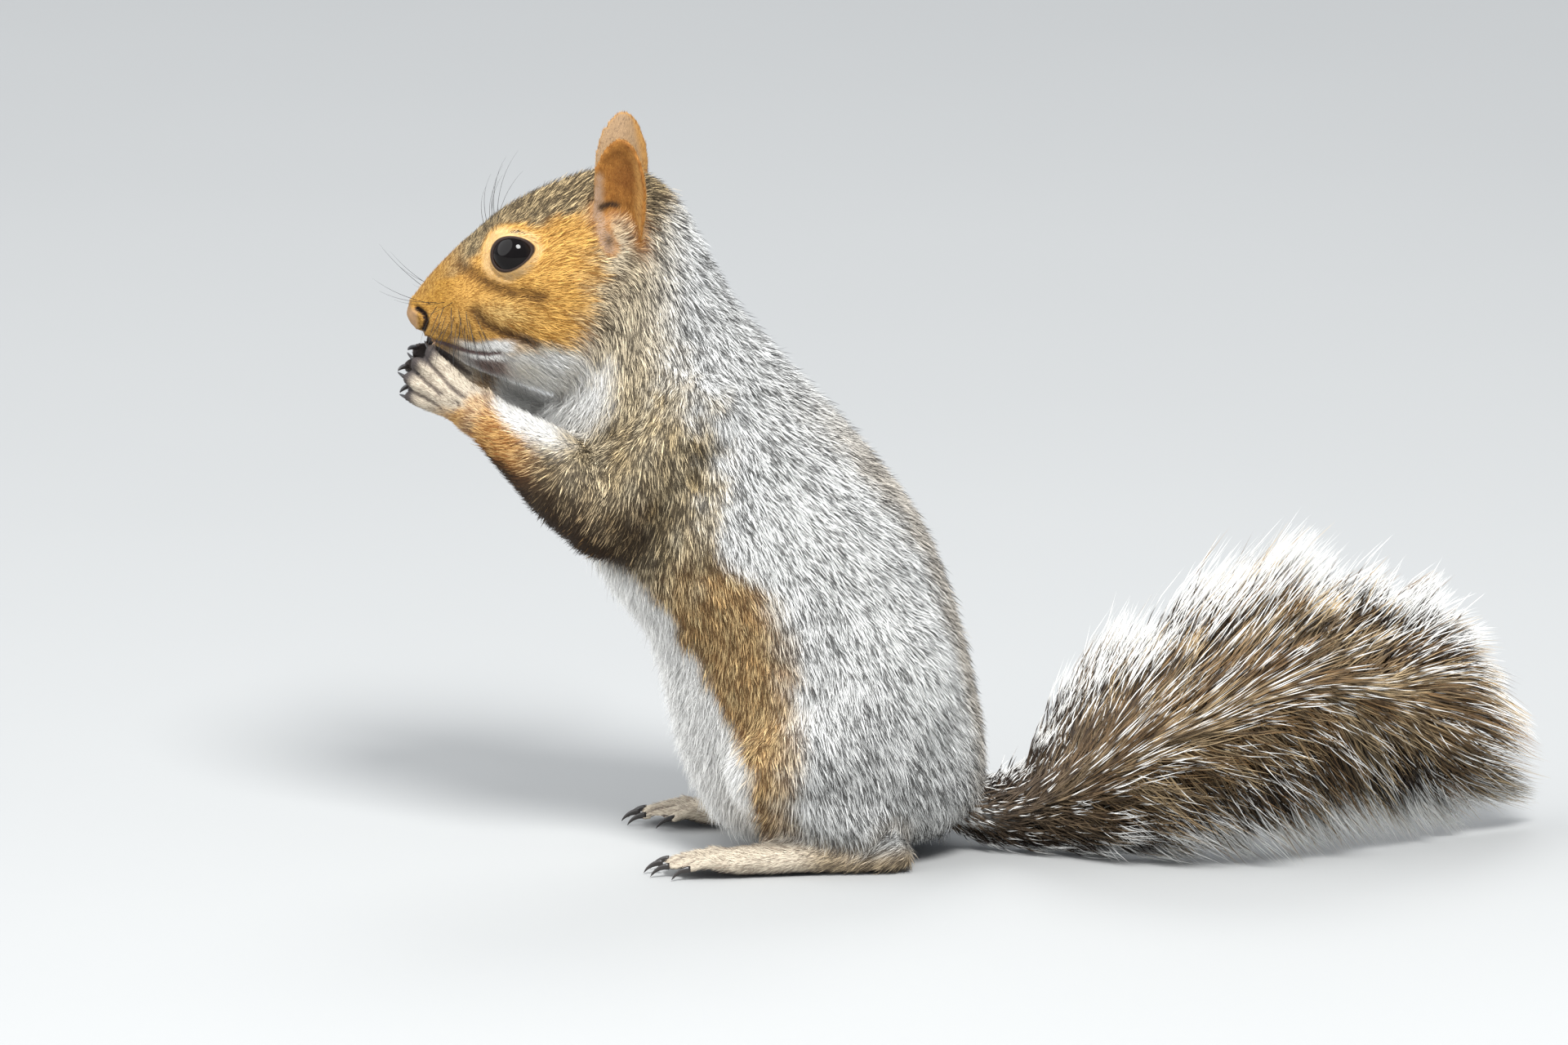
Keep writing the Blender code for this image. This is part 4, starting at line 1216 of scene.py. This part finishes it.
def plain(name, colour, roughness, variation, grain, bump):
    """A material of one colour that varies a little, with a fine bump."""
    made, tree, surface, place = new_material(name)
    fine = noise(tree, place, grain, 4)
    tone = tree.nodes.new("ShaderNodeMix")
    tone.data_type = "RGBA"
    darker = (*[c * (1 - variation) for c in colour], 1)
    lighter = (*[min(c * (1 + variation), 1) for c in colour], 1)
    fill(tree, tone, Factor=fine, A=darker, B=lighter)
    rough = ranged(tree, fine, max(roughness * 0.8, 0.02), min(roughness * 1.2, 1))
    lump = bumped(tree, noise(tree, place, grain * 3, 4), bump, 0.0002)
    fill(tree, surface, Base_Color=tone.outputs["Result"], Roughness=rough, Normal=lump)
    return made


# Eyes, claws and whiskers


def make_eye(name, side, finish):
    """The eyeball, with a cornea that swells a little, a dark brown iris and a black pupil."""
    centre, out, _, _ = eye_frame(side)
    shape = bmesh.new()
    bmesh.ops.create_uvsphere(shape, u_segments=56, v_segments=40, radius=1)
    turn = Vector(out).to_track_quat("Z", "Y").to_matrix()
    points = np.array([turn @ v.co for v in shape.verts])
    faces = triangulated(shape)
    shape.free()
    swell = 1 + 0.035 * smooth(0.55, 1.0, points @ out)
    points = centre + points * (EYE_RADIUS * 0.985 * swell)[:, None]
    facing = unit(points - centre) @ out
    iris = smooth(0.80, 0.72, facing) * smooth(0.40, 0.50, facing)
    mesh = new_mesh("eyeball", points, faces)
    colour_in(mesh, "Iris", blend(np.tile(PUPIL, (len(points), 1)), IRIS, iris))
    made = placed("eyeball_" + name, mesh, finish)
    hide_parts("eye_" + name)


def make_claws(finish):
    """Hooked claws on the fingers and toes, joined for each limb."""
    groups = {}
    steps = np.linspace(0, 1, HAIR_STEPS)
    turn = CLAW_TURN * steps[:, None]
    for tip, ahead, curl, _, kind in digit_tips():
        start = tip + (UP * 0.5 if kind == "foot" else 0) - ahead * CLAW_BASE
        ways = ahead * np.cos(turn) + curl * np.sin(turn)
        step = (CLAW_LENGTHS[kind] + CLAW_BASE) / (HAIR_STEPS - 1)
        path = start + np.vstack((np.zeros(3), np.cumsum(ways[:-1] * step, axis=0)))
        points, faces = tube(path, 0.86 * (1 - steps) ** 0.75 + 0.06, CLAW_AROUND)
        middle = np.repeat(path, CLAW_AROUND, axis=0)
        flat = unit(np.cross(ahead, curl))
        spread = points[: len(middle)] - middle
        points[: len(middle)] = middle + spread - (spread @ flat)[:, None] * flat * 0.42
        side = "left" if tip[0] > 0 else "right"
        groups.setdefault(f"claws_{kind}_{side}", []).append((points, faces))
    for name, batches in groups.items():
        placed(name, new_mesh(name, *merged(batches)), finish)


def hair(root, way, length, bend, radius):
    """A long thin hair that tapers to its tip and bends towards a direction."""
    steps = np.linspace(0, 1, HAIR_STEPS)
    ways = unit(unit(way) * (1 - steps * 0.5)[:, None] + bend * (steps * 0.9)[:, None])
    path = root + np.vstack((np.zeros(3), np.cumsum(ways[:-1] * length / (HAIR_STEPS - 1), axis=0)))
    return tube(path, radius * (1 - steps * 0.86), HAIR_AROUND)


def make_whiskers(finish, skin_tree):
    """Whiskers on the pads, brow hairs, and bristles on the chin and cheeks."""
    source = np.random.default_rng(5)
    batches = []

    def shaken(way, side, spread):
        return to_side(way, side) + source.normal(0, spread, 3)

    def grow(side, near, way, length, bend, radius):
        """Adds a hair where the skin is nearest; near and bend are those of the left side."""
        root = np.array(skin_tree.find_nearest(Vector(to_side(near, side)))[0])
        batches.append(hair(root, way, length, to_side(bend, side), radius))

    for side in SIDES.values():
        for row in range(4):
            for place in range(6):
                near = (9.0, -93.0 + place * 2.0 + row * 0.8, 138.0 - row * 1.9 - place * 0.30)
                way = shaken((0.40, -0.62 + place * 0.21, -0.95), side, 0.10)
                length = 11 + 1.6 * place + source.uniform(-2, 3)
                grow(side, near, way, length, (0.1, 0.25, -0.5), 0.085)
        for k in range(4):
            way = shaken((0.7, -0.75, 0.35 - 0.18 * k), side, 0.08)
            grow(side, (8.0, -95.0 + 2.2 * k, 138.6), way, 21.0 - 2 * k, (0.15, -0.1, 0.35), 0.08)
        for k in range(9):
            near = (source.uniform(2, 7), source.uniform(-82, -70), 118.0)
            way = to_side((0.15, source.uniform(-0.2, 0.4), -1.0), side)
            grow(side, near, way, source.uniform(3, 6), (0.0, 0.3, -0.2), 0.06)
        for k in range(4):
            way = shaken((0.25, -0.30 + 0.12 * k, 1.0), side, 0.05)
            near = (6.5 + k * 0.6, -83.0 + k * 1.3, 158.0)
            grow(side, near, way, 13.0 + 1.6 * k, (0.1, 0.55, 0.1), 0.075)
        for k in range(3):
            way = shaken((0.8, 0.45, -0.35), side, 0.1)
            grow(side, (13.5, -70.0 + k * 3, 132.0), way, 10.0 + k, (0.1, 0.5, -0.3), 0.065)
    placed("whiskers", new_mesh("whiskers", *merged(batches)), finish)


# The scene


def aimed(name, data, target, azimuth, elevation, distance):
    """A lamp or the camera, looking at a point. Azimuth goes from in front of the face to the left."""
    a, e = math.radians(azimuth), math.radians(elevation)
    back = Vector((math.sin(a) * math.cos(e), -math.cos(a) * math.cos(e), math.sin(e)))
    made = new_object(name, data)
    made.location = target + back * distance
    made.rotation_euler = (-back).to_track_quat("-Z", "Y").to_euler()
    return made


def set_scene():
    """A pale floor, soft studio lights and the camera."""
    shape = bmesh.new()
    bmesh.ops.create_grid(shape, x_segments=1, y_segments=1, size=FLOOR_SIZE)
    mesh = bpy.data.meshes.new("floor")
    shape.to_mesh(mesh)
    shape.free()
    mesh.materials.append(plain("floor", FLOOR, 0.75, 0.02, 3, 0.05))
    new_object("floor", mesh)

    scene = bpy.context.scene
    world = bpy.data.worlds.new("world")
    world.use_nodes = True
    background = world.node_tree.nodes["Background"]
    fill(world.node_tree, background, Color=(*SKY, 1), Strength=SKY_STRENGTH)
    scene.world = world
    scene.view_settings.view_transform = "Standard"
    for name, azimuth, elevation, distance, size, power in LIGHTS:
        lamp = bpy.data.lights.new(name, "AREA")
        lamp.shape = "DISK"
        lamp.size = size
        lamp.energy = power
        aimed(name, lamp, Vector(LIT_POINT), azimuth, elevation, distance)

    lens = bpy.data.cameras.new("camera")
    lens.sensor_width = SENSOR
    lens.lens = FOCAL_LENGTH
    lens.clip_end = 60
    target = Vector(VIEWED_POINT) + Vector(ORIGIN.tolist()) * MM
    scene.camera = aimed("camera", lens, target, *CAMERA)


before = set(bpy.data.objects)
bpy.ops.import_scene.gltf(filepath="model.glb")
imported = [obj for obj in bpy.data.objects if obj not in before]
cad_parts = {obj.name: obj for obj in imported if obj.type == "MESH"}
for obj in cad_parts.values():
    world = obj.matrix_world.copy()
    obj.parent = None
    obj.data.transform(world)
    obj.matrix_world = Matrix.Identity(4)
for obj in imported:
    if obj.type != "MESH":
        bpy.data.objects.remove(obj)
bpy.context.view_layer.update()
low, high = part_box("eye_left")
ORIGIN = np.array((low + high) / 2) / MM - EYE

set_scene()
fields = Fields()
skin = make_skin(fields)
points, faces, normals, edges, shares = skin

skin_finish = coloured("skin", "Coat", 0.62, 0.16, 1600, 0.5)
coat_finish = coloured("coat", "Coat", 0.60, 0.07, 900, 0.15, 0.03)
tail_finish = coloured("tail hair", "Coat", 0.55, 0.07, 900, 0.15, 0.03)
eye_finish = coloured("eye", "Iris", 0.06, 0.25, 700, 0.0)
horn = plain("claw horn", HORN, 0.32, 0.35, 900, 0.25)
bristle = plain("whisker", BRISTLE, 0.45, 0.3, 700, 0.1)

light, dark, share = markings(points, normals, shares)
skin_mesh = new_mesh("skin", points, faces)
# The skin takes the coat's markings, darkened as painted shade under the hairs
colour_in(skin_mesh, "Coat", blend(light, dark, np.clip(share * 1.1, 0, 1)) * SKIN_SHADE)
skin_piece = placed("skin", skin_mesh, skin_finish)
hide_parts(*[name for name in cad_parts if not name.startswith("eye")])

for name, side in SIDES.items():
    make_eye(name, side, eye_finish)
make_claws(horn)
make_whiskers(bristle, BVHTree.FromPolygons(points.tolist(), faces.tolist()))
short_coat(skin, unwrapped(points, faces), coat_finish)
plume(tail_finish)
